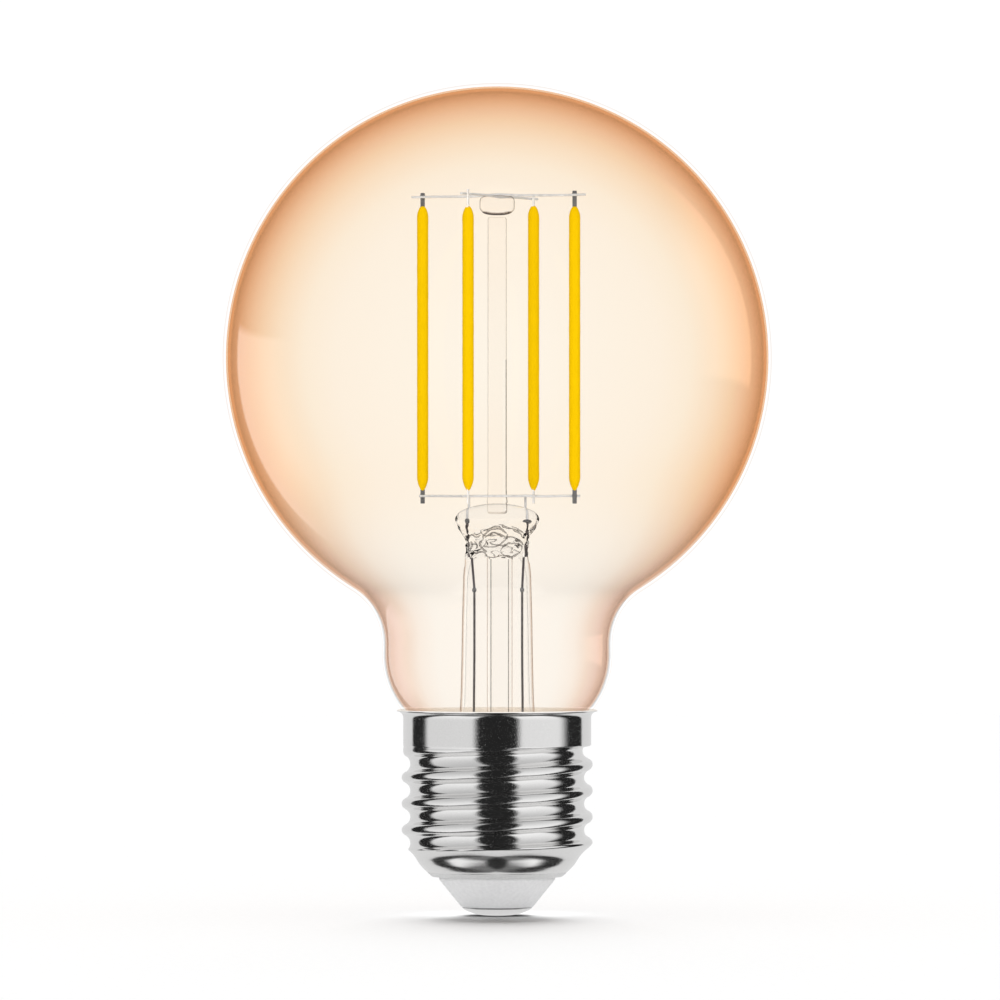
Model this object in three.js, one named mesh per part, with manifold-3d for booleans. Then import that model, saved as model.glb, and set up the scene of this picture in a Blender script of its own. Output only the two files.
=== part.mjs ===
// An LED filament globe lamp on an E27 screw cap: amber glass envelope, glass stem with its lead-in
// wires, four straight filaments hung between crossed support wires, and a mains driver with a
// wireless control board inside the cap. Millimetres, +Z up, origin at the centre of the end contact's
// flat face. +X is to the right and +Y away when the lamp is seen from the front.
import * as THREE from "three";
import { mergeVertices } from "three/addons/utils/BufferGeometryUtils.js";
import Module from "manifold-3d";

const wasm = await Module();
wasm.setup();

// ---------------------------------------------------------------- driving dimensions

const fitGap = 0.3; // between neighbouring glass, ceramic and sheet parts
const weldGap = 0.1; // between wires and what they are welded to
const roundSides = 28; // facets round the envelope and the cap, alike so that they nest

// Globe and neck of the envelope
const globeRadius = 37.88;
const globeCentreZ = 76.92;
const glassWall = 0.7;
const neckRadius = 15.9;
const neckTopZ = 37.5; // where the neck turns into the shoulder
const neckBottomZ = 36.05; // where the neck starts to draw in towards the cap
const neckDrawRadius = 11.8;
const neckDrawDeg = 51; // how far round that arc the neck draws in
const tailRadius = 11.1; // the part of the neck inside the cap
const tailTopZ = 26.6;
const tailEndZ = 20.6;

// E27 screw cap
const threadPitch = 3.629;
const threadCrestRadius = 13.18;
const threadRootRadius = 12.0;
const threadTopRootZ = 22.65; // height of the uppermost full-depth root, on the +X side
const threadRunOut = 0.9 * Math.PI; // angle over which the thread fades into the skirt
const skirtRadius = 12.97;
const sheet = 0.3;
const rimZ = 28.35;
const rimRadius = 13.87;
const coneTopRadius = 12.0;
const coneTopZ = 8.8;
const coneEndRadius = 9.8;
const coneEndZ = 6.0;
const lipZ = 5.35; // underside of the shell, where it is turned in round the insulator
const lipOuterRadius = 8.95;
const lipInnerRadius = 8.25;

// Insulator and end contact
const insulatorRadius = 8.0;
const insulatorShoulderRadius = 8.5; // inside the shell, resting on its turned-in lip
const insulatorNoseRadius = 5.0;
const insulatorNoseZ = 1.15;
const contactRadius = 4.85;
const contactFlatRadius = 2.4;
const contactThickness = 0.85;
const pinRadius = 1.0;
const pinTopZ = 8.0;

// Glass stem
const flareWall = 0.55;
const flareTopRadius = 4.65;
const flareTopZ = 47.5;
const flangeRadius = 11.0;
const pressDepthShare = 0.55; // front-to-back thickness of the press over its width
const exhaustRadius = 1.75;
const exhaustWall = 0.5;
const exhaustX = 0.35;
const exhaustTopZ = 48.2;
const exhaustTipZ = 15.8;
const rodRadius = 1.3;
const rodBaseZ = 57.0;
const rodTopZ = 96.3;
const buttonRadius = 2.42;

// Filaments and their wires
const cageRadius = 11.43;
const coatRadius = 0.75;
const coatEndRadius = 0.62;
const coatTaper = 1.1;
const coatBottomZ = 58.6;
const coatTopZ = 97.8;
const stripWidth = 0.7;
const stripThickness = 0.3;
const tabWidth = 0.6;
const tabThickness = 0.25;
const tabTopZ = 99.85;
const tabBottomZ = 56.8;
const wireRadius = 0.17;
const topWireZ = { outer: 99.48, inner: 99.04 };
const bottomBarZ = 57.85;
const outerPair = { angle: THREE.MathUtils.degToRad(-23.4), offset: 0.41 };
const innerPair = { angle: THREE.MathUtils.degToRad(66.7), offset: 0.59 };
const barOffset = 0.58; // a bottom bar passes this far inside the two tabs it joins

// Lead-in wires
const leadRadius = 0.2;
const knotRadius = 0.38;
const lowerKnotZ = 44.9;
const upperKnotZ = 54.4;
const leads = {
  left: { flareX: -3.15, pressX: -3.9 },
  right: { flareX: 3.45, pressX: 3.9 },
};

// Driver in the cap
const boardY = 2.35;
const boardThickness = 1.0;
const boardWidth = 19.6;
const boardBottomZ = 9.3;
const boardTopZ = 18.6;
const moduleBoardY = 5.7;

// ---------------------------------------------------------------- materials

const material = (color, roughness, metalness, opacity = 1) =>
  new THREE.MeshStandardMaterial({
    color,
    roughness,
    metalness,
    opacity,
    transparent: opacity < 1,
  });

const amberGlass = material(0xf2c394, 0.05, 0.0, 0.35);
const clearGlass = material(0xf3f6f5, 0.04, 0.0, 0.3);
const nickelSheet = material(0xc9c8c6, 0.22, 1.0);
const nickelWire = material(0x9b9a98, 0.35, 1.0);
const dumetWire = material(0x8a4a3a, 0.4, 1.0);
const copperWire = material(0x8d8580, 0.4, 1.0);
const phosphor = material(0xfbc80a, 0.55, 0.0);
const ceramic = material(0xeeeae2, 0.6, 0.0);
const greyPlastic = material(0xcfcfcd, 0.5, 0.0);
const cement = material(0xb7b0a3, 0.9, 0.0);
const boardLaminate = material(0x1f5a3c, 0.6, 0.0);
const blackEpoxy = material(0x1d1d1f, 0.55, 0.0);
const ferrite = material(0x3a3a3c, 0.7, 0.0);
const capacitorSleeve = material(0x2a3350, 0.4, 0.0);
const resistorBody = material(0x6f9c8a, 0.5, 0.0);
const wireSleeve = material(0xd9d4cb, 0.5, 0.0);

// ---------------------------------------------------------------- shape helpers

const lamp = new THREE.Group();

function add(name, geometry, itsMaterial) {
  const mesh = new THREE.Mesh(geometry, itsMaterial);
  mesh.name = name;
  lamp.add(mesh);
  return mesh;
}

const vec = (x, y, z) => new THREE.Vector3(x, y, z);

// Points on an arc in the (radius, height) plane; angles in degrees from the outward direction.
function arc(centreR, centreZ, radius, fromDeg, toDeg, steps) {
  const points = [];
  for (let i = 0; i <= steps; i++) {
    const a = THREE.MathUtils.degToRad(fromDeg + ((toDeg - fromDeg) * i) / steps);
    points.push([centreR + radius * Math.cos(a), centreZ + radius * Math.sin(a)]);
  }
  return points;
}

// A body of revolution about Z from a loop of [radius, height] points, given in either direction.
function lathe(loop, segments) {
  const area = loop.reduce((sum, [r, z], i) => {
    const [r2, z2] = loop[(i + 1) % loop.length];
    return sum + r * z2 - r2 * z;
  }, 0);
  const points = area > 0 ? [...loop] : [...loop].reverse();
  const start = points.findIndex(([r], i) => r === 0 && points.at(i - 1)[0] === 0);
  const ordered =
    start < 0
      ? [...points, points[0]]
      : [...points.slice(start), ...points.slice(0, start)];
  const geometry = new THREE.LatheGeometry(
    ordered.map(([r, z]) => new THREE.Vector2(r, z)),
    segments,
  );
  return geometry.rotateX(Math.PI / 2);
}

// A round rod or wire between two points.
function rod(from, to, radius, sides = 8) {
  const along = to.clone().sub(from);
  const geometry = new THREE.CylinderGeometry(radius, radius, along.length(), sides);
  const turn = new THREE.Quaternion().setFromUnitVectors(vec(0, 1, 0), along.normalize());
  const middle = from.clone().add(to).multiplyScalar(0.5);
  return geometry.applyQuaternion(turn).translate(middle.x, middle.y, middle.z);
}

// A wire bent along a smooth curve through the given points.
function bentWire(points, radius, steps, sides = 6) {
  const section = new THREE.Shape(
    Array.from({ length: sides }, (_, i) => {
      const a = (2 * Math.PI * i) / sides;
      return new THREE.Vector2(radius * Math.cos(a), radius * Math.sin(a));
    }),
  );
  const extrudePath = new THREE.CatmullRomCurve3(points, false, "centripetal");
  return new THREE.ExtrudeGeometry(section, { steps, extrudePath });
}

function box(sizeX, sizeY, sizeZ, centre) {
  return new THREE.BoxGeometry(sizeX, sizeY, sizeZ).translate(centre.x, centre.y, centre.z);
}

function toSolid(geometry) {
  const bare = geometry.clone();
  bare.deleteAttribute("normal");
  bare.deleteAttribute("uv");
  const merged = mergeVertices(bare, 1e-4);
  return new wasm.Manifold(
    new wasm.Mesh({
      numProp: 3,
      vertProperties: new Float32Array(merged.attributes.position.array),
      triVerts: new Uint32Array(merged.index.array),
    }),
  );
}

function toGeometry(solid) {
  const mesh = solid.getMesh();
  return new THREE.BufferGeometry()
    .setAttribute("position", new THREE.BufferAttribute(mesh.vertProperties, 3))
    .setIndex(new THREE.BufferAttribute(mesh.triVerts, 1));
}

function cut(geometry, ...tools) {
  const left = tools.reduce((solid, tool) => solid.subtract(toSolid(tool)), toSolid(geometry));
  return toGeometry(left);
}

// ---------------------------------------------------------------- glass envelope

// Outline of the envelope, moved in by the given wall: tail, neck, shoulder, globe.
function envelopeOutline(inset, globeSteps) {
  const shoulder = shoulderFillet();
  const drawCentreR = neckRadius - neckDrawRadius;
  return [
    [tailRadius - inset, tailEndZ],
    [tailRadius - inset, tailTopZ],
    ...arc(drawCentreR, neckBottomZ, neckDrawRadius - inset, -neckDrawDeg, 0, 6),
    ...arc(shoulder.r, neckTopZ, shoulder.radius + inset, 180, shoulder.endDeg, 5),
    ...arc(0, globeCentreZ, globeRadius - inset, shoulder.endDeg - 180, 84, globeSteps).slice(1),
    [0, globeCentreZ + globeRadius - inset],
  ];
}

// The concave arc that is tangent to the neck's side and to the globe.
function shoulderFillet() {
  const rise = globeCentreZ - neckTopZ;
  const radius =
    (neckRadius ** 2 + rise ** 2 - globeRadius ** 2) / (2 * (globeRadius - neckRadius));
  const r = neckRadius + radius;
  return { r, radius, endDeg: THREE.MathUtils.radToDeg(Math.atan2(rise, -r)) };
}

add(
  "glass_envelope",
  lathe([...envelopeOutline(0, 17), ...envelopeOutline(glassWall, 13).reverse()], roundSides),
  amberGlass,
);

// ---------------------------------------------------------------- screw cap

// Share of the full thread depth at a height dz from the root line: two tangent arcs.
function threadDepth(dz) {
  const depth = threadCrestRadius - threadRootRadius;
  const arcRadius = ((threadPitch ** 2) / 4 + depth ** 2) / (4 * depth);
  const distance = Math.abs(dz);
  if (distance < threadPitch / 4)
    return 1 - (arcRadius - Math.sqrt(arcRadius ** 2 - distance ** 2)) / depth;
  const fromCrest = threadPitch / 2 - distance;
  return (arcRadius - Math.sqrt(arcRadius ** 2 - fromCrest ** 2)) / depth;
}

// Outer radius of the shell at an angle about Z and a height: a right-hand rolled thread that fades
// into the plain skirt at its top and is cut off by the cone at its bottom.
function shellRadius(angle, z) {
  const turn = Math.round((z - threadTopRootZ) / threadPitch - angle / (2 * Math.PI));
  const along = angle + 2 * Math.PI * turn;
  const fade = 1 - THREE.MathUtils.smoothstep(along, 0, threadRunOut);
  const dz = z - threadTopRootZ - (threadPitch * along) / (2 * Math.PI);
  const toSkirt = THREE.MathUtils.smoothstep(z, 21.0, 22.6);
  const land = THREE.MathUtils.lerp(threadCrestRadius, skirtRadius, toSkirt);
  const threaded = land - fade * threadDepth(dz) * (threadCrestRadius - threadRootRadius);
  const coneSlope = (coneTopRadius - coneEndRadius) / (coneTopZ - coneEndZ);
  return Math.min(threaded, coneEndRadius + coneSlope * (z - coneEndZ));
}

// Rows of the shell's outline. On the threaded rows the radius is found point by point.
function shellRows() {
  const rowsPerPitch = 6;
  const bottom = [[lipInnerRadius, lipZ], [lipOuterRadius, lipZ], [9.5, 5.68]];
  const top = [[skirtRadius, 27.3], [13.1, 27.75], [13.45, 28.05], [rimRadius, 28.15]];
  const rows = bottom.map(([r, z]) => ({ r, z }));
  for (let z = coneEndZ; z < 25; z += threadPitch / rowsPerPitch) rows.push({ z });
  rows.push(...top.map(([r, z]) => ({ r, z })));
  return rows;
}

// The inside of the shell follows its outside, one sheet thickness in.
function innerShellRows(outerRows) {
  const inner = outerRows
    .filter((row) => row.r === undefined)
    .map(({ z }) => ({ z, inset: z < coneTopZ + 0.4 ? 1.35 * sheet : sheet }));
  const top = [[13.7, rimZ], [13.25, 28.3], [12.85, 27.95], [skirtRadius - sheet, 27.4]];
  return [
    ...top.map(([r, z]) => ({ r, z })),
    ...inner.reverse(),
    { r: lipInnerRadius, z: lipZ + sheet },
  ];
}

function screwShellGeometry() {
  const outer = shellRows();
  const rows = [...outer, ...innerShellRows(outer)];
  const geometry = lathe(
    rows.map(({ r, z }) => [r ?? 1, z]),
    roundSides,
  );
  const position = geometry.getAttribute("position");
  const rowCount = rows.length + 1;
  for (let i = 0; i < position.count; i++) {
    const row = rows[(i % rowCount) % rows.length];
    if (row.r !== undefined) continue;
    const x = position.getX(i);
    const y = position.getY(i);
    const angle = (Math.atan2(y, x) + 2 * Math.PI) % (2 * Math.PI);
    const radius = shellRadius(angle, row.z) - (row.inset ?? 0);
    position.setXY(i, radius * Math.cos(angle), radius * Math.sin(angle));
  }
  return geometry;
}

add("screw_shell", screwShellGeometry(), nickelSheet);

const insulatorShoulderZ = lipZ + sheet + fitGap + 0.1;

add(
  "cap_insulator",
  lathe(
    [
      [pinRadius + fitGap, insulatorNoseZ],
      [insulatorNoseRadius, insulatorNoseZ],
      [insulatorRadius, 4.9],
      [insulatorRadius, insulatorShoulderZ],
      [insulatorShoulderRadius, insulatorShoulderZ],
      [insulatorShoulderRadius, 6.7],
      [7.9, 7.2],
      [pinRadius + fitGap, 7.2],
    ],
    roundSides,
  ),
  greyPlastic,
);

// The end contact is a nail: a domed head outside the insulator and a shank through it.
add(
  "end_contact",
  lathe(
    [
      [0, 0],
      [contactFlatRadius, 0],
      [3.6, 0.12],
      [4.4, 0.35],
      [contactRadius, contactThickness - 0.15],
      [contactRadius - 0.2, contactThickness],
      [pinRadius, contactThickness],
      [pinRadius, pinTopZ - 0.4],
      [pinRadius - 0.3, pinTopZ],
      [0, pinTopZ],
    ],
    24,
  ),
  nickelSheet,
);

// Basing cement between the neck's tail and the skirt.
const cementInnerRadius = tailRadius + fitGap + 0.1;
const cementOuterRadius = skirtRadius - sheet - fitGap - 0.1;

add(
  "cement_ring",
  lathe(
    [
      [cementInnerRadius, 23.9],
      [cementOuterRadius, 24.8],
      [cementOuterRadius, 26.5],
      [cementInnerRadius + 0.3, 26.5],
      [cementInnerRadius, 26.0],
    ],
    24,
  ),
  cement,
);

// ---------------------------------------------------------------- glass stem

// Flare tube, from the flange that is sealed to the neck's end up to the closed top of its bore.
function flareTubeGeometry() {
  const flare = [
    [9.3, 20.75],
    [7.9, 21.8],
    [6.6, 23.5],
    [5.7, 25.6],
    [5.15, 28.4],
    [4.95, 34],
    [4.85, 40],
    [flareTopRadius, flareTopZ],
  ];
  const flangeZ = tailEndZ - fitGap;
  const crown = [[4.3, 50.2], [2.5, 51.6], [0, 51.8]];
  const outside = [[flangeRadius, flangeZ], [9.9, flangeZ], ...flare, ...crown];
  const inside = flare.map(([r, z], i) => [r - flareWall, i < 3 ? z - 0.45 : z]);
  return lathe(
    [
      ...outside,
      [0, 49.6],
      [2.2, 49.3],
      [3.5, 48.6],
      ...inside.reverse(),
      [9.9, flangeZ - flareWall],
      [flangeRadius, flangeZ - flareWall],
    ],
    24,
  );
}

// The pressed head: glass pinched flat front and back round the lead-in wires.
function pressGeometry() {
  const profile = [
    [0, 50.4],
    [4.1, 51.0],
    [4.4, 52.2],
    [5.2, 53.3],
    [5.8, 54.5],
    [5.3, 55.6],
    [3.8, 56.3],
    [1.9, 56.65],
    [0, 56.7],
  ];
  return lathe(profile, 24).scale(1, pressDepthShare, 1);
}

// The line of a lead-in wire between its two knots, stretched past both for a channel.
const dumetAt = (lead, z) => {
  const share = (z - lowerKnotZ) / (upperKnotZ - lowerKnotZ);
  return vec(THREE.MathUtils.lerp(lead.flareX, lead.pressX, share), 0, z);
};

function stemFlareGeometry() {
  const stem = toSolid(flareTubeGeometry()).add(toSolid(pressGeometry()));
  const channels = Object.values(leads).map((lead) =>
    rod(dumetAt(lead, 46), dumetAt(lead, 58), knotRadius + fitGap),
  );
  return cut(toGeometry(stem), ...channels);
}

add("stem_flare", stemFlareGeometry(), clearGlass);

add(
  "exhaust_tube",
  lathe(
    [
      [exhaustRadius - exhaustWall, exhaustTopZ],
      [exhaustRadius, exhaustTopZ],
      [exhaustRadius, exhaustTipZ + 2.2],
      [1.2, exhaustTipZ + 0.8],
      [0, exhaustTipZ],
      [0, exhaustTipZ + 1.4],
      [exhaustRadius - exhaustWall, exhaustTipZ + 3.2],
    ],
    12,
  ).translate(exhaustX, 0, 0),
  clearGlass,
);

add("stem_rod", rod(vec(0, 0, rodBaseZ), vec(0, 0, rodTopZ), rodRadius, 12), clearGlass);

// The button is pressed over the rod's end; the two top wires are set into its upper side.
function buttonGeometry() {
  const blank = lathe(
    [
      [0, rodTopZ + fitGap],
      [1.4, rodTopZ + fitGap],
      [2.1, 96.85],
      [buttonRadius, 97.4],
      [buttonRadius, 98.7],
      [2.15, 99.35],
      [1.4, 99.7],
      [0, 99.7],
    ],
    16,
  );
  const groove = (angle, wireZ) => {
    const floorZ = wireZ - wireRadius - fitGap;
    const tool = box(8, 2 * (wireRadius + fitGap), 4, vec(0, 0, floorZ + 2));
    return tool.rotateZ(angle);
  };
  return cut(
    blank,
    groove(outerPair.angle, topWireZ.outer),
    groove(innerPair.angle, topWireZ.inner),
  );
}

add("rod_button", buttonGeometry(), clearGlass);

// ---------------------------------------------------------------- filaments and support wires

// Plan of one pair: its wire runs through the axis along u, and its filaments stand beside it.
function pairPlan({ angle, offset }, side) {
  const u = vec(Math.cos(angle), Math.sin(angle), 0);
  const n = vec(side * -Math.sin(angle), side * Math.cos(angle), 0);
  const at = (share) =>
    u.clone().multiplyScalar(share * cageRadius).addScaledVector(n, offset);
  return { u, near: at(1), far: at(-1), angle };
}

const outerPlan = pairPlan(outerPair, 1);
const innerPlan = pairPlan(innerPair, -1);

// Filaments in order from left to right as the lamp is seen from the front.
const filaments = [
  { at: outerPlan.far, angle: outerPlan.angle },
  { at: innerPlan.far, angle: innerPlan.angle },
  { at: innerPlan.near, angle: innerPlan.angle },
  { at: outerPlan.near, angle: outerPlan.angle },
];

function coatGeometry() {
  const outside = [
    [0, coatBottomZ],
    [coatEndRadius, coatBottomZ],
    [coatRadius, coatBottomZ + coatTaper],
    [coatRadius, coatTopZ - coatTaper],
    [coatEndRadius, coatTopZ],
    [0, coatTopZ],
  ];
  const channel = box(
    stripWidth + 2 * weldGap,
    stripThickness + 2 * weldGap,
    coatTopZ - coatBottomZ + 2,
    vec(0, 0, (coatTopZ + coatBottomZ) / 2),
  );
  return cut(lathe(outside, 12), channel);
}

function addFilament(number, { at, angle }) {
  const stripBottomZ = coatBottomZ + 0.3;
  const stripTopZ = coatTopZ - 0.3;
  const upright = (width, thickness, fromZ, toZ) =>
    box(width, thickness, toZ - fromZ, vec(0, 0, (fromZ + toZ) / 2));
  const pieces = [
    ["coat", coatGeometry(), phosphor],
    ["strip", upright(stripWidth, stripThickness, stripBottomZ, stripTopZ), ceramic],
    ["top_tab", upright(tabWidth, tabThickness, stripTopZ + weldGap, tabTopZ), nickelWire],
    ["bottom_tab", upright(tabWidth, tabThickness, tabBottomZ, stripBottomZ - weldGap), nickelWire],
  ];
  for (const [label, geometry, itsMaterial] of pieces) {
    const mesh = add(`filament_${number}_${label}`, geometry, itsMaterial);
    mesh.position.copy(at);
    mesh.rotation.z = angle;
  }
}

filaments.forEach((filament, i) => addFilament(i + 1, filament));

// Top wires: each joins the two filaments of one pair across the button.
function topWire({ u }, wireZ, farStub, nearStub) {
  const end = (reach) => u.clone().multiplyScalar(reach).setZ(wireZ);
  return rod(end(-cageRadius - farStub), end(cageRadius + nearStub), wireRadius);
}

add("top_wire_outer", topWire(outerPlan, topWireZ.outer, 1.5, 1.8), nickelWire);
add("top_wire_inner", topWire(innerPlan, topWireZ.inner, 0.9, 2.6), nickelWire);

// Bottom bars: each joins one filament of one pair with one of the other, and takes a lead.
function barPlan(from, to) {
  const along = to.clone().sub(from).normalize();
  const inward = vec(along.y, -along.x, 0);
  if (inward.dot(from) > 0) inward.negate();
  const start = from.clone().addScaledVector(inward, barOffset).setZ(bottomBarZ);
  return { start, along, length: from.distanceTo(to) };
}

const rearBar = barPlan(filaments[0].at, filaments[2].at);
const frontBar = barPlan(filaments[1].at, filaments[3].at);

function addBar(name, { start, along, length }, startStub, endStub) {
  const from = start.clone().addScaledVector(along, -startStub);
  const to = start.clone().addScaledVector(along, length + endStub);
  add(name, rod(from, to, wireRadius), nickelWire);
}

addBar("bottom_bar_rear", rearBar, 0.7, 0.8);
addBar("bottom_bar_front", frontBar, 0.8, 1.1);

// ---------------------------------------------------------------- lead-in wires

// Where a bar crosses the vertical plane of a lead.
function barCrossing({ start, along }, x) {
  return start.clone().addScaledVector(along, (x - start.x) / along.x);
}

// Inner lead: up out of the press, then level to its bar.
function innerLeadGeometry(lead, bar) {
  const crossing = barCrossing(bar, lead.pressX);
  const reach = crossing.y - Math.sign(crossing.y) * (wireRadius + 2 * weldGap);
  const level = (share) => vec(lead.pressX, share * reach, bottomBarZ);
  const bend = vec(lead.pressX, 0.1 * reach, bottomBarZ - 0.15);
  const foot = vec(lead.pressX, 0, upperKnotZ + knotRadius + weldGap);
  const knee = vec(lead.pressX, 0, bottomBarZ - 0.8);
  return bentWire([foot, knee, bend, level(0.25), level(1)], wireRadius, 14, 8);
}

function outerLeadGeometry({ flareX }) {
  const top = vec(flareX, 0, lowerKnotZ - knotRadius - weldGap);
  const straightEnd = vec(flareX, 0, 21.5);
  const pad = vec(flareX, boardY - fitGap - 0.1, 18.0);
  const bend = [vec(flareX, 1.2, 18.6), vec(flareX, 0.3, 20)];
  return bentWire([pad, ...bend, straightEnd, top], leadRadius, 18, 8);
}

function addLead(label, lead, bar) {
  const knot = (z) => {
    const { x } = dumetAt(lead, z);
    return new THREE.SphereGeometry(knotRadius, 8, 6).translate(x, 0, z);
  };
  const dumet = rod(
    dumetAt(lead, lowerKnotZ + knotRadius + weldGap),
    dumetAt(lead, upperKnotZ - knotRadius - weldGap),
    leadRadius,
  );
  add(`inner_lead_${label}`, innerLeadGeometry(lead, bar), nickelWire);
  add(`upper_knot_${label}`, knot(upperKnotZ), nickelWire);
  add(`dumet_lead_${label}`, dumet, dumetWire);
  add(`lower_knot_${label}`, knot(lowerKnotZ), nickelWire);
  add(`outer_lead_${label}`, outerLeadGeometry(lead), copperWire);
}

addLead("left", leads.left, rearBar);
addLead("right", leads.right, frontBar);

// ---------------------------------------------------------------- driver and wireless control

const boardFrontY = boardY;
const boardBackY = boardY + boardThickness;
const boardMiddleZ = (boardBottomZ + boardTopZ) / 2;

add(
  "driver_board",
  box(
    boardWidth,
    boardThickness,
    boardTopZ - boardBottomZ,
    vec(0, boardY + boardThickness / 2, boardMiddleZ),
  ),
  boardLaminate,
);

// A can or drum standing on end in front of the board.
function standing(profile, x, y, sides = 16) {
  return lathe(profile, sides).translate(x, y, 0);
}

add(
  "smoothing_capacitor",
  standing(
    [[0, 9.4], [2.8, 9.4], [2.8, 9.9], [2.6, 10.2], [2.8, 10.5], [2.8, 17.2], [2.5, 17.4], [0, 17.4]],
    -5.3,
    -1.0,
  ),
  capacitorSleeve,
);

add(
  "power_inductor",
  standing(
    [[0, 9.4], [3.0, 9.4], [3.0, 10.4], [2.4, 10.4], [2.4, 14.6], [3.0, 14.6], [3.0, 15.6], [0, 15.6]],
    5.6,
    -1.2,
  ),
  ferrite,
);

add("bridge_rectifier", box(4.7, 1.4, 3.9, vec(-6.2, boardBackY + 0.8, 14.6)), blackEpoxy);
add("driver_chip", box(3.9, 1.4, 4.9, vec(6.4, boardBackY + 0.8, 14.2)), blackEpoxy);

// Fusible resistor in the live line, standing in front of the capacitor and inductor.
const fuseY = -6.2;

add(
  "fuse_resistor",
  standing([[0, 10.6], [1.0, 10.6], [1.2, 11.0], [1.2, 15.8], [1.0, 16.2], [0, 16.2]], 0, fuseY, 12),
  resistorBody,
);

add(
  "live_wire",
  bentWire(
    [
      vec(0, 0, pinTopZ + fitGap + 0.15),
      vec(0, -1.4, pinTopZ + 0.8),
      vec(0, -4.2, pinTopZ + 0.8),
      vec(0, fuseY, 9.4),
      vec(0, fuseY, 10.6 - 2 * weldGap),
    ],
    0.25,
    18,
  ),
  wireSleeve,
);

add(
  "fuse_lead",
  bentWire(
    [
      vec(0, fuseY, 16.2 + 2 * weldGap),
      vec(0, fuseY, 16.7),
      vec(0.3, fuseY + 0.4, 17.1),
      vec(1.8, -3.4, 17.3),
      vec(2.7, -0.4, 17.3),
      vec(2.6, boardFrontY - fitGap, 17.1),
    ],
    0.22,
    18,
  ),
  copperWire,
);

add(
  "neutral_wire",
  bentWire(
    [
      vec(-8.9, boardFrontY - fitGap - 0.1, 12.4),
      vec(-9.3, 0.9, 12.9),
      vec(-10.2, 0.2, 13.6),
      vec(-11.0, 0, 15.4),
    ],
    0.25,
    12,
  ),
  wireSleeve,
);

// Wireless control board, parallel to the driver board and behind it.
add("wireless_board", box(12.6, 0.8, 9.4, vec(0, moduleBoardY + 0.4, 13.9)), boardLaminate);
add("wireless_shield", box(8.4, 1.5, 6.2, vec(0, moduleBoardY + 1.85, 13.4)), nickelSheet);

// Wire aerial from the wireless board up into the flare, as far as the cap's rim.
add(
  "wireless_aerial",
  bentWire([vec(0, 6.1, 18.9), vec(0, 5.6, 20.6), vec(0, 4.1, 23.2), vec(0, 3.1, 27.6)], 0.25, 14),
  wireSleeve,
);

export default lamp;
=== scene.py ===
"""An LED filament globe lamp on an E27 screw cap, standing on its end contact on a pale floor.

Outlines are in millimetres and become metres when a piece is made. +Z is up, +X to the right and +Y
away from the camera, as in the CAD frame.
"""

import math

import bmesh
import bpy
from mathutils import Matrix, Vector, noise


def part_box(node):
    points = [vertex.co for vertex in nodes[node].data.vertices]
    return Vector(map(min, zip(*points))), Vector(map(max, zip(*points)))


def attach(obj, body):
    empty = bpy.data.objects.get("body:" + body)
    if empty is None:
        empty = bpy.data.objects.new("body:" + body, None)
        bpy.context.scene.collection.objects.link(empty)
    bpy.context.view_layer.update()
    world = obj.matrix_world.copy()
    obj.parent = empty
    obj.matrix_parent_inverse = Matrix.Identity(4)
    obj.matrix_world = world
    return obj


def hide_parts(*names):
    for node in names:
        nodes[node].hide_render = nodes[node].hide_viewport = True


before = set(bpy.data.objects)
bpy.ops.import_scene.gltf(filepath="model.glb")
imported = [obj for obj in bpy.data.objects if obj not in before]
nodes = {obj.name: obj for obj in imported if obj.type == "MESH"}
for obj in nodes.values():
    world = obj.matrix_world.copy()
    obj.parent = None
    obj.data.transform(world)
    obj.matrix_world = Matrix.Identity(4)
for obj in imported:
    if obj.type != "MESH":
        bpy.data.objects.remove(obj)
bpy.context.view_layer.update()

MM = 0.001


def node_box(name):
    """A CAD node's lowest and highest corner in millimetres."""
    low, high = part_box(name)
    return low / MM, high / MM


def node_centre(name):
    """The middle of a CAD node's box in millimetres."""
    low, high = node_box(name)
    return (low + high) / 2


# ---- driving dimensions

GLASS_LOW, GLASS_HIGH = node_box("glass_envelope")
GLOBE_RADIUS = GLASS_HIGH.x
GLOBE_CENTRE_Z = GLASS_HIGH.z - GLOBE_RADIUS
NECK_RADIUS = 15.9
NECK_TOP_Z = 37.5
NECK_BOTTOM_Z = 36.0
NECK_DRAW_RADIUS = 12.25  # the arc on which the neck draws in towards the cap
NECK_DRAW_DEGREES = 47.0
TAIL_RADIUS = 11.1  # the part of the neck inside the cap
TAIL_TOP_Z = 26.4
CLEAR_SKIN = 0.45  # clear glass outside the amber layer
AMBER_LAYER = 0.25
TAIL_LAYER_SHARE = 0.75  # how thick the layer is below the globe, as a share
LAYER_GAP = 0.01
GLOBE_SIDES = 192

THREAD_PITCH = 3.629
THREAD_CREST = 13.18
THREAD_ROOT = 12.0
THREAD_TOP_ROOT_Z = 22.65  # height of the uppermost full-depth root, on the +X side
THREAD_RUN_OUT = 0.9 * math.pi  # angle over which the thread fades into the skirt
ROOT_SHARE = 0.6  # of the two arcs that make the thread, the root's share
SKIRT_EDGE_Z = 23.25
SKIRT_RADIUS = 12.97
SHEET = 0.3  # wall of the shell
RIM_RADIUS = node_box("screw_shell")[1].x
RIM_Z = node_box("screw_shell")[1].z
LIP_Z = node_box("screw_shell")[0].z
RIM_ROLL_Z = 27.25  # height from which the skirt curls out to the rim
RIM_ROLL_RADIUS = 0.9
LIP_INNER_RADIUS = 8.15
CONE_END_Z = 6.0
CONE_TOP_Z = 9.1
CONE_POINTS = (  # (height, radius) up the foot of the shell
    (6.0, 9.68), (6.25, 9.97), (6.6, 10.31), (7.05, 10.7), (7.6, 11.07), (8.1, 11.38), (8.5, 11.7),
    (8.9, 12.12), (9.3, 12.58),
)

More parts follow.
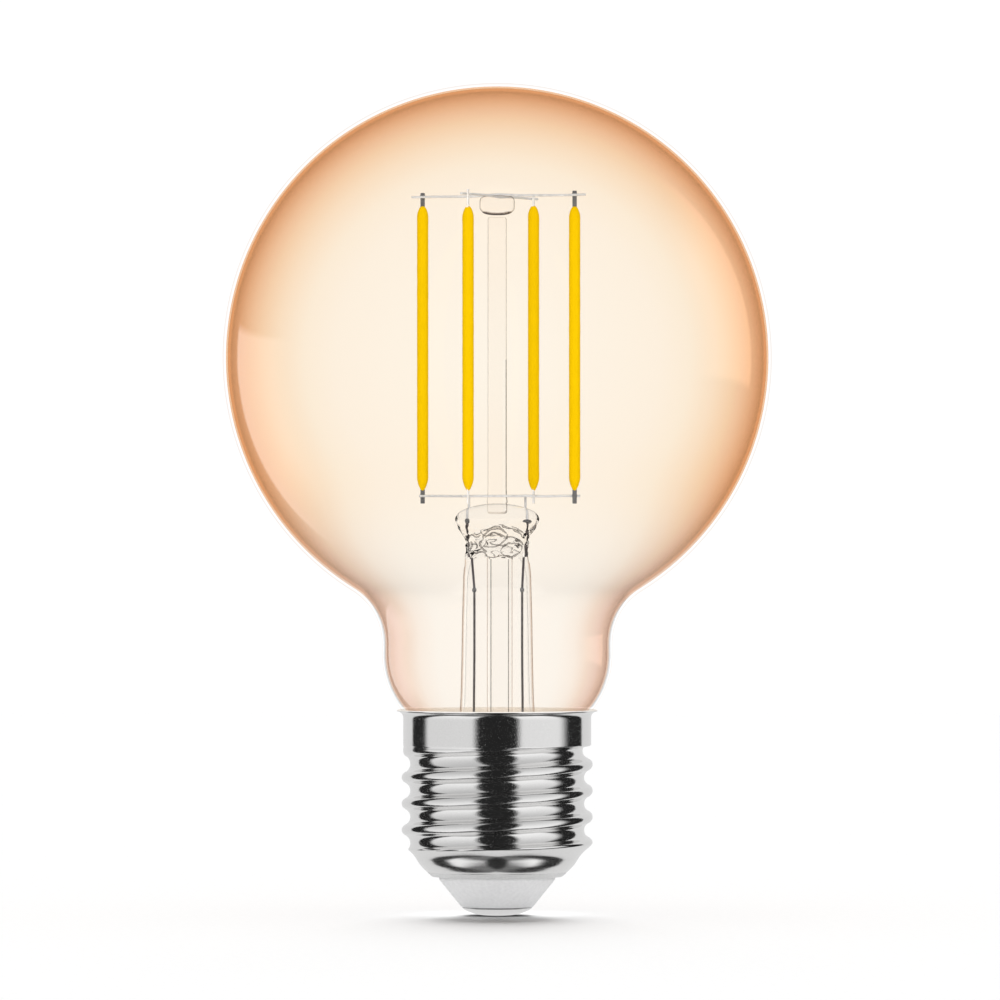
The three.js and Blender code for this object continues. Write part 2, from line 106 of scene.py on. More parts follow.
STEM_SIDES = 144
FLARE_WALL = 0.55
PRESS_Z = 49.3  # above this the stem is one pressed lump of glass
ROD_SUNK = 1.75  # how deep the rod's foot is in the press
DARK_SIDE = 0.6  # share of the rod's radius past which its right side is painted darker, as shade
DARK_SIDE_TOP_Z = 79
BUTTON_FOOT = 0.5  # height of the rounding under the button that is painted darker, as shade
WIRE_RADIUS = 0.17  # of the cross wires, the bars and the inner leads
LEAD_RADIUS = 0.165  # of the middle and outer lengths of the leads
KNOT_RADIUS = 0.3


# ---- materials


GRAIN_SPREAD = (0.3, 0.7)  # the part of the noise's range that carries the variation
GLASS_WAVE = 0.004  # depth of the slight waves of blown and drawn glass
GLASS_WAVE_SCALE = 45
AMBER_TURN_Z = (46, 64)  # heights between which the tilt of the glass starts to count
AMBER_DEEP_Z = (40, 62)  # heights between which the colour deepens to the globe's


def new_material(name):
    """A node material, its node tree and its Principled shader."""
    material = bpy.data.materials.new(name)
    material.use_nodes = True
    tree = material.node_tree
    return material, tree, tree.nodes["Principled BSDF"]


def noise_texture(tree, scale, detail=4.0):
    """Noise in the object's own coordinates, which are metres in the CAD frame."""
    place = tree.nodes.new("ShaderNodeTexCoord")
    texture = tree.nodes.new("ShaderNodeTexNoise")
    texture.inputs["Scale"].default_value = scale
    texture.inputs["Detail"].default_value = detail
    tree.links.new(place.outputs["Object"], texture.inputs["Vector"])
    return texture.outputs["Fac"]


def colour_ramp(tree, value, stops):
    """Colour by a value, from (position, colour) stops. A plain number is a grey."""
    node = tree.nodes.new("ShaderNodeValToRGB")
    elements = node.color_ramp.elements
    while len(elements) < len(stops):
        elements.new(0.5)
    for element, (position, colour) in zip(elements, stops):
        element.position = position
        element.color = (*colour, 1) if isinstance(colour, tuple) else (colour, colour, colour, 1)
    tree.links.new(value, node.inputs["Fac"])
    return node.outputs["Color"]


def bump(tree, shader, height, distance):
    """Bump the shader by a height, distance metres deep."""
    node = tree.nodes.new("ShaderNodeBump")
    node.inputs["Distance"].default_value = distance
    tree.links.new(height, node.inputs["Height"])
    tree.links.new(node.outputs["Normal"], shader.inputs["Normal"])


def surface_material(
    name, low, high, roughness, metallic=0.0, scale=300, bump_mm=0.01, spread=GRAIN_SPREAD, **extra
):
    """A material with a fine bump, its colour between low and high and its roughness between two values.

    Between the two values of spread the grain's noise takes the roughness from one to the other.
    """
    material, tree, shader = new_material(name)
    grain = noise_texture(tree, scale)
    colour = colour_ramp(tree, grain, list(zip(GRAIN_SPREAD, (low, high))))
    tree.links.new(colour, shader.inputs["Base Color"])
    rough = colour_ramp(tree, grain, list(zip(spread, roughness)))
    tree.links.new(rough, shader.inputs["Roughness"])
    shader.inputs["Metallic"].default_value = metallic
    for socket, value in extra.items():
        shader.inputs[socket.replace("_", " ")].default_value = value
    bump(tree, shader, grain, bump_mm * MM)
    return material


def glass_material(name, ior, wave_mm, wave_scale):
    """Clear polished glass that bends light, with a slightly wavy surface."""
    material, tree, shader = new_material(name)
    shader.inputs["Base Color"].default_value = (1, 1, 1, 1)
    shader.inputs["Roughness"].default_value = 0.0
    shader.inputs["Transmission Weight"].default_value = 1.0
    shader.inputs["IOR"].default_value = ior
    bump(tree, shader, noise_texture(tree, wave_scale, 1.0), wave_mm * MM)
    return material


def shader_maths(tree, operation, *values, clamp=False):
    """A Math node on numbers or sockets."""
    node = tree.nodes.new("ShaderNodeMath")
    node.operation = operation
    node.use_clamp = clamp
    for value, socket in zip(values, node.inputs):
        if isinstance(value, (int, float)):
            socket.default_value = value
        else:
            tree.links.new(value, socket)
    return node.outputs[0]


def soft_step(tree, value, low, high):
    """0 below low and 1 above high, smooth between them."""
    node = tree.nodes.new("ShaderNodeMapRange")
    node.interpolation_type = "SMOOTHSTEP"
    tree.links.new(value, node.inputs["Value"])
    node.inputs["From Min"].default_value = low
    node.inputs["From Max"].default_value = high
    return node.outputs["Result"]


def edge_on(tree, normal=None):
    """How edge-on the surface is seen: 0 face-on and 1 at its outline."""
    weight = tree.nodes.new("ShaderNodeLayerWeight")
    weight.inputs["Blend"].default_value = 0.5
    if normal:
        tree.links.new(normal, weight.inputs["Normal"])
    return weight.outputs["Facing"]


def thin_glass_material(name, stops, ior, rim=None):
    """Thin glass: it mirrors by Fresnel once in each wall and lets the rest straight through.

    stops tint it by how edge-on it is, painting shade on its outlines, and between the two values of rim
    it stops mirroring.
    """
    material, tree, shader = new_material(name)
    tree.nodes.remove(shader)
    clear = tree.nodes.new("ShaderNodeBsdfTransparent")
    seen = edge_on(tree)
    tree.links.new(colour_ramp(tree, seen, stops), clear.inputs["Color"])
    mirror = tree.nodes.new("ShaderNodeBsdfGlossy")
    mirror.inputs["Roughness"].default_value = 0.0
    fresnel = tree.nodes.new("ShaderNodeFresnel")
    fresnel.inputs["IOR"].default_value = ior
    geometry = tree.nodes.new("ShaderNodeNewGeometry")
    share = shader_maths(
        tree, "SUBTRACT", fresnel.outputs["Fac"], geometry.outputs["Backfacing"], clamp=True
    )
    if rim:
        inside_rim = shader_maths(tree, "SUBTRACT", 1.0, soft_step(tree, seen, *rim))
        share = shader_maths(tree, "MULTIPLY", share, inside_rim)
    mix = tree.nodes.new("ShaderNodeMixShader")
    tree.links.new(share, mix.inputs["Fac"])
    tree.links.new(clear.outputs[0], mix.inputs[1])
    tree.links.new(mirror.outputs[0], mix.inputs[2])
    tree.links.new(mix.outputs[0], tree.nodes["Material Output"].inputs["Surface"])
    bump(tree, mirror, noise_texture(tree, GLASS_WAVE_SCALE, 1.0), GLASS_WAVE * MM)
    return material


def amber_material(name):
    """The amber layer: it bends no light and mirrors none, and is deepest in colour where it is edge-on.

    Towards the neck the colour is paler, and there only the turn round the axis counts as edge-on.
    """
    material, tree, shader = new_material(name)
    tree.nodes.remove(shader)
    place = tree.nodes.new("ShaderNodeTexCoord")
    split = tree.nodes.new("ShaderNodeSeparateXYZ")
    tree.links.new(place.outputs["Object"], split.inputs[0])
    in_globe = soft_step(tree, split.outputs["Z"], *(z * MM for z in AMBER_TURN_Z))
    rise = shader_maths(tree, "SUBTRACT", split.outputs["Z"], GLOBE_CENTRE_Z * MM)
    outward = tree.nodes.new("ShaderNodeCombineXYZ")
    tree.links.new(split.outputs["X"], outward.inputs["X"])
    tree.links.new(split.outputs["Y"], outward.inputs["Y"])
    tree.links.new(shader_maths(tree, "MULTIPLY", rise, in_globe), outward.inputs["Z"])
    unit = tree.nodes.new("ShaderNodeVectorMath")
    unit.operation = "NORMALIZE"
    tree.links.new(outward.outputs[0], unit.inputs[0])
    seen = edge_on(tree, unit.outputs["Vector"])
    mix = tree.nodes.new("ShaderNodeMix")
    mix.data_type = "RGBA"
    deep = soft_step(tree, split.outputs["Z"], *(z * MM for z in AMBER_DEEP_Z))
    tree.links.new(deep, mix.inputs["Factor"])
    tree.links.new(colour_ramp(tree, seen, NECK_TINT), mix.inputs["A"])
    tree.links.new(colour_ramp(tree, seen, GLOBE_TINT), mix.inputs["B"])
    clear = tree.nodes.new("ShaderNodeBsdfTransparent")
    tree.links.new(mix.outputs["Result"], clear.inputs["Color"])
    tree.links.new(clear.outputs[0], tree.nodes["Material Output"].inputs["Surface"])
    return material


BLOWN_GLASS_IOR = 1.35
DRAWN_GLASS_IOR = 1.2
INNER_GLASS_IOR = 1.1  # for faces that should hardly mirror
GLOBE_TINT = (  # what one face of the layer lets through, by how edge-on it is
    (0.0, (1, 0.979, 0.945)), (0.05, (1, 0.9748, 0.9373)), (0.2, (1, 0.9692, 0.9268)),
    (0.3, (1, 0.9621, 0.9095)), (0.42, (1, 0.9372, 0.8628)), (0.5, (1, 0.9147, 0.8248)),
    (0.6, (1, 0.883, 0.7769)), (0.67, (1, 0.8601, 0.7391)), (0.74, (1, 0.8383, 0.7029)),
    (0.83, (1, 0.822, 0.668)), (1.0, (0.99, 0.797, 0.64)),
)
NECK_TINT = (  # the same for the neck
    (0.0, (1, 0.982, 0.958)), (0.15, (0.998, 0.98, 0.955)), (0.28, (0.995, 0.966, 0.935)),
    (0.42, (0.985, 0.93, 0.885)), (0.56, (0.98, 0.905, 0.86)), (0.64, (0.972, 0.885, 0.83)),
    (1.0, (0.95, 0.84, 0.77)),
)
# What clear glass lets through, also by how edge-on it is: its outlines are darker than its middle. In
# these stops and those below, that darkening is painted shade standing in for the light the glass bends
# and mirrors away.
CLEAR_EDGE = ((0.0, (1, 1, 1)), (0.88, (1, 1, 1)), (1.0, (0.9, 0.85, 0.81)))
FAINT_EDGE = ((0.0, (1, 1, 1)), (0.62, (1, 1, 1)), (0.95, (0.8, 0.66, 0.57)))
ROD_EDGE = ((0.0, (0.997, 0.991, 0.986)), (0.6, (0.997, 0.991, 0.986)), (0.9, (0.76, 0.72, 0.69)))
DARK_EDGE = ((0.0, (1, 1, 1)), (0.5, (1, 1, 1)), (0.85, (0.3, 0.27, 0.25)))
FOOT_EDGE = ((0.0, (1, 1, 1)), (0.35, (1, 1, 1)), (0.6, (0.4, 0.37, 0.36)))
FOLD_EDGE = ((0.0, (0.78, 0.77, 0.76)), (0.25, (0.5, 0.49, 0.49)), (0.7, (0.25, 0.25, 0.25)))

# Each thin glass below except the amber layer paints shade on its outlines by its stops.
clear_skin = thin_glass_material("envelope_glass", CLEAR_EDGE, BLOWN_GLASS_IOR, rim=(0.79, 0.84))
tube_glass = thin_glass_material("tube_glass", FAINT_EDGE, DRAWN_GLASS_IOR)
# Painted shade: this glass darkens strongly at its outlines, in the pump tube's bore and on the rod's
# right side.
shaded_glass = thin_glass_material("shaded_glass", DARK_EDGE, DRAWN_GLASS_IOR)
rod_glass = thin_glass_material("rod_glass", ROD_EDGE, DRAWN_GLASS_IOR)
foot_glass = thin_glass_material("button_foot", FOOT_EDGE, DRAWN_GLASS_IOR)
fold_glass = thin_glass_material("fold_glass", FOLD_EDGE, INNER_GLASS_IOR)
plain_glass = thin_glass_material("plain_glass", CLEAR_EDGE, INNER_GLASS_IOR)
amber_layer = amber_material("amber_layer")
stem_glass = glass_material("stem_glass", ior=1.25, wave_mm=0.006, wave_scale=260)

# Each surface: its darkest and lightest colour, its lowest and highest roughness, how metallic it is,
# the scale of its grain and the depth of its bump.
nickel_sheet = surface_material(
    "nickel_sheet", (0.8, 0.795, 0.79), (0.86, 0.855, 0.85), (0.07, 0.3), 1.0, 6500, 0.004,
    spread=(0.5, 0.74)
)
nickel_satin = surface_material(
    "nickel_satin", (0.8, 0.795, 0.79), (0.86, 0.855, 0.85), (0.09, 0.22), 1.0, 6500, 0.004
)
burnished_edge = surface_material(
    "burnished_edge", (0.62, 0.62, 0.62), (0.72, 0.72, 0.72), (0.35, 0.5), 0.25, 4000, 0.01
)
nickel_wire = surface_material(
    "nickel_wire", (0.62, 0.64, 0.68), (0.82, 0.85, 0.9), (0.3, 0.5), 0.35, 1800, 0.01
)
# The first strip paints a highlight on the inner tabs. The second paints shade on the outer tabs and
# also colours the weld beads dark.
lit_strip = surface_material(
    "lit_strip", (0.8, 0.82, 0.86), (0.9, 0.92, 0.96), (0.3, 0.5), 0.05, 1800, 0.01
)
dark_strip = surface_material(
    "dark_strip", (0.14, 0.145, 0.155), (0.19, 0.195, 0.21), (0.35, 0.5), 0.3, 1800, 0.01
)
dumet_wire = surface_material(
    "dumet_wire", (0.17, 0.16, 0.17), (0.3, 0.27, 0.28), (0.3, 0.5), 1.0, 1500, 0.01
)
copper_wire = surface_material(
    "copper_wire", (0.22, 0.21, 0.21), (0.36, 0.34, 0.33), (0.3, 0.5), 1.0, 1500, 0.01
)
# The phosphor's emission is a painted glow on the unlit coats, keeping their yellow flat and bright.
phosphor = surface_material(
    "phosphor", (0.615, 0.405, 0.001), (0.645, 0.427, 0.0015), (0.6, 0.75), 0.0, 900, 0.02,
    Emission_Color=(1, 0.66, 0.001, 1), Emission_Strength=0.18, Specular_IOR_Level=0.03
)
ceramic = surface_material("ceramic", (0.82, 0.8, 0.75), (0.9, 0.88, 0.84), (0.5, 0.7))
grey_plastic = surface_material(
    "grey_plastic", (0.705, 0.705, 0.71), (0.77, 0.77, 0.775), (0.42, 0.6), 0.0, 2200, 0.02
)
cement = surface_material(
    "cement", (0.82, 0.79, 0.74), (0.92, 0.9, 0.86), (0.85, 0.98), 0.0, 1400, 0.12
)
laminate = surface_material(
    "board_laminate", (0.008, 0.07, 0.035), (0.016, 0.11, 0.055), (0.3, 0.5), 0.0, 900, 0.02
)
black_epoxy = surface_material(
    "black_epoxy", (0.012, 0.012, 0.013), (0.025, 0.025, 0.027), (0.5, 0.7), 0.0, 3000, 0.02
)
ferrite = surface_material(
    "ferrite", (0.03, 0.03, 0.032), (0.07, 0.07, 0.075), (0.55, 0.8), 0.0, 2600, 0.05
)
sleeve = surface_material(
    "capacitor_sleeve", (0.015, 0.02, 0.06), (0.03, 0.04, 0.1), (0.25, 0.4), 0.0, 500, 0.01
)
lacquer = surface_material(
    "resistor_body", (0.12, 0.3, 0.22), (0.2, 0.4, 0.3), (0.3, 0.5), 0.0, 1200, 0.03
)
wire_sleeve = surface_material(
    "wire_sleeve", (0.65, 0.62, 0.57), (0.75, 0.72, 0.67), (0.4, 0.55), 0.0, 900, 0.02
)


# ---- mesh helpers


ON_AXIS = 1e-6  # an outline's point nearer the axis than this is a pole


def make_piece(name, verts, faces, material, slot, replaced=(), sharp_degrees=40):
    """A mesh piece in the CAD frame from vertices in millimetres. It rides on the lamp's one body."""
    mesh = bpy.data.meshes.new(name)
    mesh.from_pydata([Vector(v) * MM for v in verts], [], faces)
    solid = bmesh.new()
    solid.from_mesh(mesh)
    bmesh.ops.recalc_face_normals(solid, faces=solid.faces)
    solid.to_mesh(mesh)
    solid.free()
    mesh.shade_smooth()
    mesh.set_sharp_from_angle(angle=math.radians(sharp_degrees))
    mesh.materials.append(material)
    piece = bpy.data.objects.new(name, mesh)
    bpy.context.scene.collection.objects.link(piece)
    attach(piece, "root")
    if replaced:
        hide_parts(*replaced)
    return piece


def add_material(piece, material, belongs):
    """A further material on the faces whose middle, in millimetres, passes the test."""
    piece.data.materials.append(material)
    index = len(piece.data.materials) - 1
    for face in piece.data.polygons:
        if belongs(face.center / MM):
            face.material_index = index


def bridge(rings):
    """Faces between each ring and the next, the last and the first included. A ring of one is a pole."""
    faces = []
    for a, b in zip(rings, rings[1:] + rings[:1]):
        if len(a) == 1 and len(b) == 1:
            continue
        count = max(len(a), len(b))
        for i in range(count):
            j = (i + 1) % count
            if len(a) == 1:
                faces.append((a[0], b[i], b[j]))
            elif len(b) == 1:
                faces.append((a[i], b[0], a[j]))
            else:
                faces.append((a[i], b[i], b[j], a[j]))
    return faces


def on_circle(r, z, angle):
    """The point at a radius, a height and an angle."""
    return r * math.cos(angle), r * math.sin(angle), z


def turned(outline, sides, place=on_circle):
    """Vertices and faces of an outline of (radius, height) points turned round Z.

    The outline is a loop, or starts and ends on the axis. place(radius, height, angle) says where
    each point goes.
    """
    verts, rings = [], []
    for r, z in outline:
        count = sides if r > ON_AXIS else 1
        rings.append(list(range(len(verts), len(verts) + count)))
        verts += [place(r, z, 2 * math.pi * i / sides) for i in range(count)]
    return verts, bridge(rings)


def plain_points(curve):
    """The (radius, height) of each point of a smooth curve."""
    return [(p[0], p[1]) for p in curve]


def closed_on_axis(curve):
    """An outline from a curve, its first and last point put on the axis."""
    outline = plain_points(curve)
    outline[0] = (0, outline[0][1])
    outline[-1] = (0, outline[-1][1])
    return outline


def arc(centre_r, centre_z, radius, start, end, step=3.0):
    """Points on an arc in the (radius, height) plane, angles in degrees from the outward direction."""
    count = max(2, math.ceil(abs(end - start) / step))
    angles = [math.radians(start + (end - start) * i / count) for i in range(count + 1)]
    return [(centre_r + radius * math.cos(a), centre_z + radius * math.sin(a)) for a in angles]


def smooth(points, per_span=6):
    """A Catmull-Rom curve through the points, each a tuple of numbers."""
    points = [Vector(p) for p in points]
    padded = [2 * points[0] - points[1], *points, 2 * points[-1] - points[-2]]
    out = []
    for p0, p1, p2, p3 in zip(padded, padded[1:], padded[2:], padded[3:]):
        for i in range(per_span):
            t = i / per_span
            out.append(
                0.5 * (2 * p1 + (p2 - p0) * t + (2 * p0 - 5 * p1 + 4 * p2 - p3) * t**2
                       + (3 * p1 - p0 - 3 * p2 + p3) * t**3)
            )
    return [*out, points[-1]]


def swept(points, radius, sides=16, taper=0.0):
    """Vertices and faces of a round wire along the points, its ends rounded off.

    taper is how much thinner it is at its ends than at its middle, as a share.
    """
    points = [Vector(p) for p in points]
    tangents = [
        (points[min(i + 1, len(points) - 1)] - points[max(i - 1, 0)]).normalized()
        for i in range(len(points))
    ]
    side = tangents[0].orthogonal().normalized()
    verts, rings = [], []

    def ring(centre, tangent, ring_radius):
        across = (side - tangent * side.dot(tangent)).normalized()
        other = tangent.cross(across)
        rings.append(list(range(len(verts), len(verts) + sides)))
        for i in range(sides):
            a = 2 * math.pi * i / sides
            verts.append(centre + (across * math.cos(a) + other * math.sin(a)) * ring_radius)

    def radius_at(row):
        return radius * (1 - taper * (1 - math.sin(math.pi * row / (len(points) - 1))))

    first, last = radius_at(0), radius_at(len(points) - 1)
    rings.append([0])
    verts.append(points[0] - tangents[0] * first * 0.3)
    for size, out in ((0.6, 0.22), (0.88, 0.1)):
        ring(points[0] - tangents[0] * first * out, tangents[0], first * size)
    for row, (p, t) in enumerate(zip(points, tangents)):
        ring(p, t, radius_at(row))
    for size, out in ((0.88, 0.1), (0.6, 0.22)):
        ring(points[-1] + tangents[-1] * last * out, tangents[-1], last * size)
    rings.append([len(verts)])
    verts.append(points[-1] + tangents[-1] * last * 0.3)
    return verts, bridge(rings)


def smoothstep(value, low, high):
    """0 below low and 1 above high, smooth between them."""
    t = min(1.0, max(0.0, (value - low) / (high - low)))
    return t * t * (3 - 2 * t)


# ---- envelope


def envelope_outline(inset, tail_inset=None):
    """Outline of the envelope moved in by inset: tail, neck, shoulder and globe, up to the axis.

    tail_inset is how far everything below the globe moves in, where that is different.
    """
    tail_inset = inset if tail_inset is None else tail_inset
    rise = GLOBE_CENTRE_Z - NECK_TOP_Z
    fillet = (NECK_RADIUS**2 + rise**2 - GLOBE_RADIUS**2) / (2 * (GLOBE_RADIUS - NECK_RADIUS))
    fillet_r = NECK_RADIUS + fillet
    end = math.degrees(math.atan2(rise, -fillet_r))
    draw_r = NECK_RADIUS - NECK_DRAW_RADIUS
    draw = arc(draw_r, NECK_BOTTOM_Z, NECK_DRAW_RADIUS - tail_inset, -NECK_DRAW_DEGREES, 0)
    tail_r = TAIL_RADIUS - tail_inset
    tail = smooth(
        [(tail_r, GLASS_LOW.z), (tail_r, 23.5), (tail_r, TAIL_TOP_Z - 0.6), draw[0]], 5
    )
    shoulder = arc(fillet_r, NECK_TOP_Z, fillet + tail_inset, 180, end)
    globe = arc(0, GLOBE_CENTRE_Z, GLOBE_RADIUS - inset, end - 180, 90, 2.0)
    outline = plain_points(tail[:-1]) + draw + shoulder + globe[1:-1]
    return [*outline, (0.0, GLOBE_CENTRE_Z + GLOBE_RADIUS - inset)]


def make_envelope():
    """The envelope as a clear skin with the amber layer inside it, thinner below the globe."""
    skin = envelope_outline(0) + envelope_outline(CLEAR_SKIN)[::-1]
    make_piece(
        "envelope_clear_glass", *turned(skin, GLOBE_SIDES), clear_skin, "amber_glass",
        ["glass_envelope"]
    )
    outside = CLEAR_SKIN + LAYER_GAP
    inside = outside + AMBER_LAYER
    tail_inside = outside + TAIL_LAYER_SHARE * AMBER_LAYER
    layer = envelope_outline(outside) + envelope_outline(inside, tail_inside)[::-1]
    make_piece("envelope_amber_layer", *turned(layer, GLOBE_SIDES), amber_layer, "amber_glass")


make_envelope()


# ---- screw cap


CONE_CURVE = plain_points(smooth(CONE_POINTS, 5))
CONE_RISE = 1.15  # how fast the cone widens above its curve
EDGE_BLEND = 0.3  # half-width of the rounded edge between thread and cone
SHELL_ROW = 0.11  # height of a row of the shell's faces
SHELL_TOP_Z = 25.2  # top of the rows that follow the thread
OUTER_FACE, INNER_FACE = 1.0, 2.0  # stand in the outline for the shell's own two radii
CEMENT_FROM_Z = 24


def thread_depth(dz):
    """Share of the full depth at a height dz from the root line.

    The profile is a wide root arc and a narrow crest arc that meet without a kink.
    """
    depth = THREAD_CREST - THREAD_ROOT
    both = (THREAD_PITCH**2 / 4 + depth**2) / (2 * depth)
    root_radius = both * ROOT_SHARE
    crest_radius = both - root_radius
    distance = abs(dz)
    if distance < THREAD_PITCH / 2 * ROOT_SHARE:
        return 1 - (root_radius - math.sqrt(root_radius**2 - distance**2)) / depth
    from_crest = min(abs(THREAD_PITCH / 2 - distance), crest_radius)
    return (crest_radius - math.sqrt(crest_radius**2 - from_crest**2)) / depth


def cone_radius(z):
    """Radius of the drawn-in foot of the shell: steep, easier, and steep again towards the lip."""
    if z >= CONE_CURVE[-1][0]:
        return CONE_CURVE[-1][1] + CONE_RISE * (z - CONE_CURVE[-1][0])
    for low, high in zip(CONE_CURVE, CONE_CURVE[1:]):
        if z < high[0]:
            return low[1] + (high[1] - low[1]) * (z - low[0]) / (high[0] - low[0])


def shell_radius(angle, z):
    """Outer radius of the shell: the rolled thread, fading into the skirt, cut off by the cone."""
    turn = round((z - THREAD_TOP_ROOT_Z) / THREAD_PITCH - angle / (2 * math.pi))
    along = angle + 2 * math.pi * turn
    fade = 1 - smoothstep(along, 0, THREAD_RUN_OUT)
    dz = z - THREAD_TOP_ROOT_Z - THREAD_PITCH * along / (2 * math.pi)
    land = THREAD_CREST + (SKIRT_RADIUS - THREAD_CREST) * smoothstep(z, 21.0, 22.6)
    threaded = land - fade * thread_depth(dz) * (THREAD_CREST - THREAD_ROOT)
    over_edge = smoothstep(z, SKIRT_EDGE_Z - 0.1, SKIRT_EDGE_Z + 0.22)
    threaded += (SKIRT_RADIUS - threaded) * over_edge
    threaded -= 0.07 * math.exp(-(((z - SKIRT_EDGE_Z) / 0.12) ** 2))
    cone = cone_radius(z)
    share = max(0.0, EDGE_BLEND - abs(threaded - cone)) / EDGE_BLEND
    return min(threaded, cone) - share**2 * EDGE_BLEND / 4


def make_screw_shell():
    """The shell: lip, cone, thread and skirt in one sheet, its rim curled out."""
    bottom = [(LIP_INNER_RADIUS, LIP_Z + 0.1), (LIP_INNER_RADIUS + 0.12, LIP_Z), (8.9, LIP_Z)]
    bottom += [(9.0, LIP_Z + 0.02), (9.08, LIP_Z + 0.08), (9.5, 5.78)]
    rows = int((SHELL_TOP_Z - CONE_END_Z) / SHELL_ROW)
    heights = [CONE_END_Z + SHELL_ROW * i for i in range(rows)]
    top = [(SKIRT_RADIUS, z) for z in (25.4, 26.2, 27.0)]
    top += arc(RIM_RADIUS, RIM_ROLL_Z, RIM_ROLL_RADIUS, 180, 96, 9)
    top += [(RIM_RADIUS, 28.15), (RIM_RADIUS - 0.02, RIM_Z - 0.1), (RIM_RADIUS - 0.1, RIM_Z)]
    inside = arc(RIM_RADIUS, RIM_ROLL_Z, RIM_ROLL_RADIUS + 0.25, 100, 180, 9)
    inside += [(SKIRT_RADIUS - SHEET, z) for z in (26.6, 25.4)]
    outline = bottom + [(OUTER_FACE, z) for z in heights] + top + inside
    outline += [(INNER_FACE, z) for z in heights[::-2]] + [(LIP_INNER_RADIUS, LIP_Z + SHEET)]

    def place(r, z, angle):
        if r == OUTER_FACE:
            r = shell_radius(angle, z)
        elif r == INNER_FACE:
            across_cone = 1.3 if z <= CONE_TOP_Z + 0.1 else 1.0
            r = shell_radius(angle, z) - across_cone * SHEET
        return on_circle(r, z, angle)

    piece = make_piece(
        "shell_of_cap", *turned(outline, 256, place), nickel_sheet, "nickel_sheet",
        ["screw_shell"], 50
    )
    add_material(piece, nickel_satin, lambda p: p.z < CONE_TOP_Z)
    add_material(piece, burnished_edge, lambda p: p.z < CONE_END_Z)

    def inside_rim(p):
        """Whether cement is smeared there, on the inner side of the skirt and the rim."""
        above_roll = max(p.z - RIM_ROLL_Z, 0)
        from_roll = math.hypot(math.hypot(p.x, p.y) - RIM_RADIUS, above_roll)
        return p.z > CEMENT_FROM_Z and from_roll > RIM_ROLL_RADIUS + 0.12

    add_material(piece, cement, inside_rim)


def make_insulator():
    """The pale cone between the shell and the end contact, with the bore for the contact's pin."""
    low, high = node_box("cap_insulator")
    nose_radius, bore = 5.05, 1.3
    outline = [(bore, low.z), (nose_radius - 0.25, low.z)]
    outline += arc(nose_radius - 0.2, low.z + 0.2, 0.2, -90, -38, 13)
    outline += [(7.9, 4.82)] + arc(7.85, 5.0, 0.15, -38, 0, 13)
    outline += [(8.0, 5.95), (8.5, 6.05), (8.5, 6.7), (7.9, high.z), (bore, high.z)]
    make_piece(
        "insulator_of_cap", *turned(outline, 128), grey_plastic, "grey_plastic",
        ["cap_insulator"], 35
    )


def make_end_contact():
    """The end contact: a domed head, flat in its middle, on a pin."""
    high = node_box("end_contact")[1]
    flat, pin = 1.6, 1.0
    outline = [(0, 0), (flat, 0)]
    head = smooth(
        [(flat, 0), (2.4, 0.07), (3.3, 0.27), (4.05, 0.55), (4.55, 0.82), (4.78, 0.98)], 6
    )
    outline += plain_points(head[1:])
    outline += [(4.83, 1.05), (4.8, 1.11), (4.7, 1.14), (4.3, 1.14), (pin, 1.14), (pin, high.z - 0.4)]
    outline += [(pin - 0.3, high.z), (0, high.z)]
    make_piece(
        "contact_of_cap", *turned(outline, 96), nickel_sheet, "nickel_sheet", ["end_contact"], 35
    )


make_screw_shell()
make_insulator()
make_end_contact()


# ---- glass stem


def stem_shape():
    """(height, half width, half depth) up the outside of the flare and press."""
    return smooth([
        (20.3, 11.0, 11.0), (20.42, 9.9, 9.9), (20.75, 9.3, 9.3), (21.8, 7.9, 7.9), (23.5, 6.6, 6.6),
        (25.6, 5.7, 5.7), (28.4, 5.15, 5.15), (34, 4.95, 4.95), (40, 4.85, 4.85), (45, 4.72, 4.7),
        (47.5, 4.62, 4.45), (49.4, 4.3, 3.8), (51, 4.22, 3.3), (52.2, 4.55, 3.1), (53.4, 5.25, 3.1),
        (54.6, 5.8, 3.15), (55.5, 5.35, 2.95), (56.1, 4.3, 2.5), (56.5, 2.9, 1.95), (56.7, 1.7, 1.5),
        (56.78, 0.6, 0.6), (56.8, 0.0, 0.0),
    ], 6)


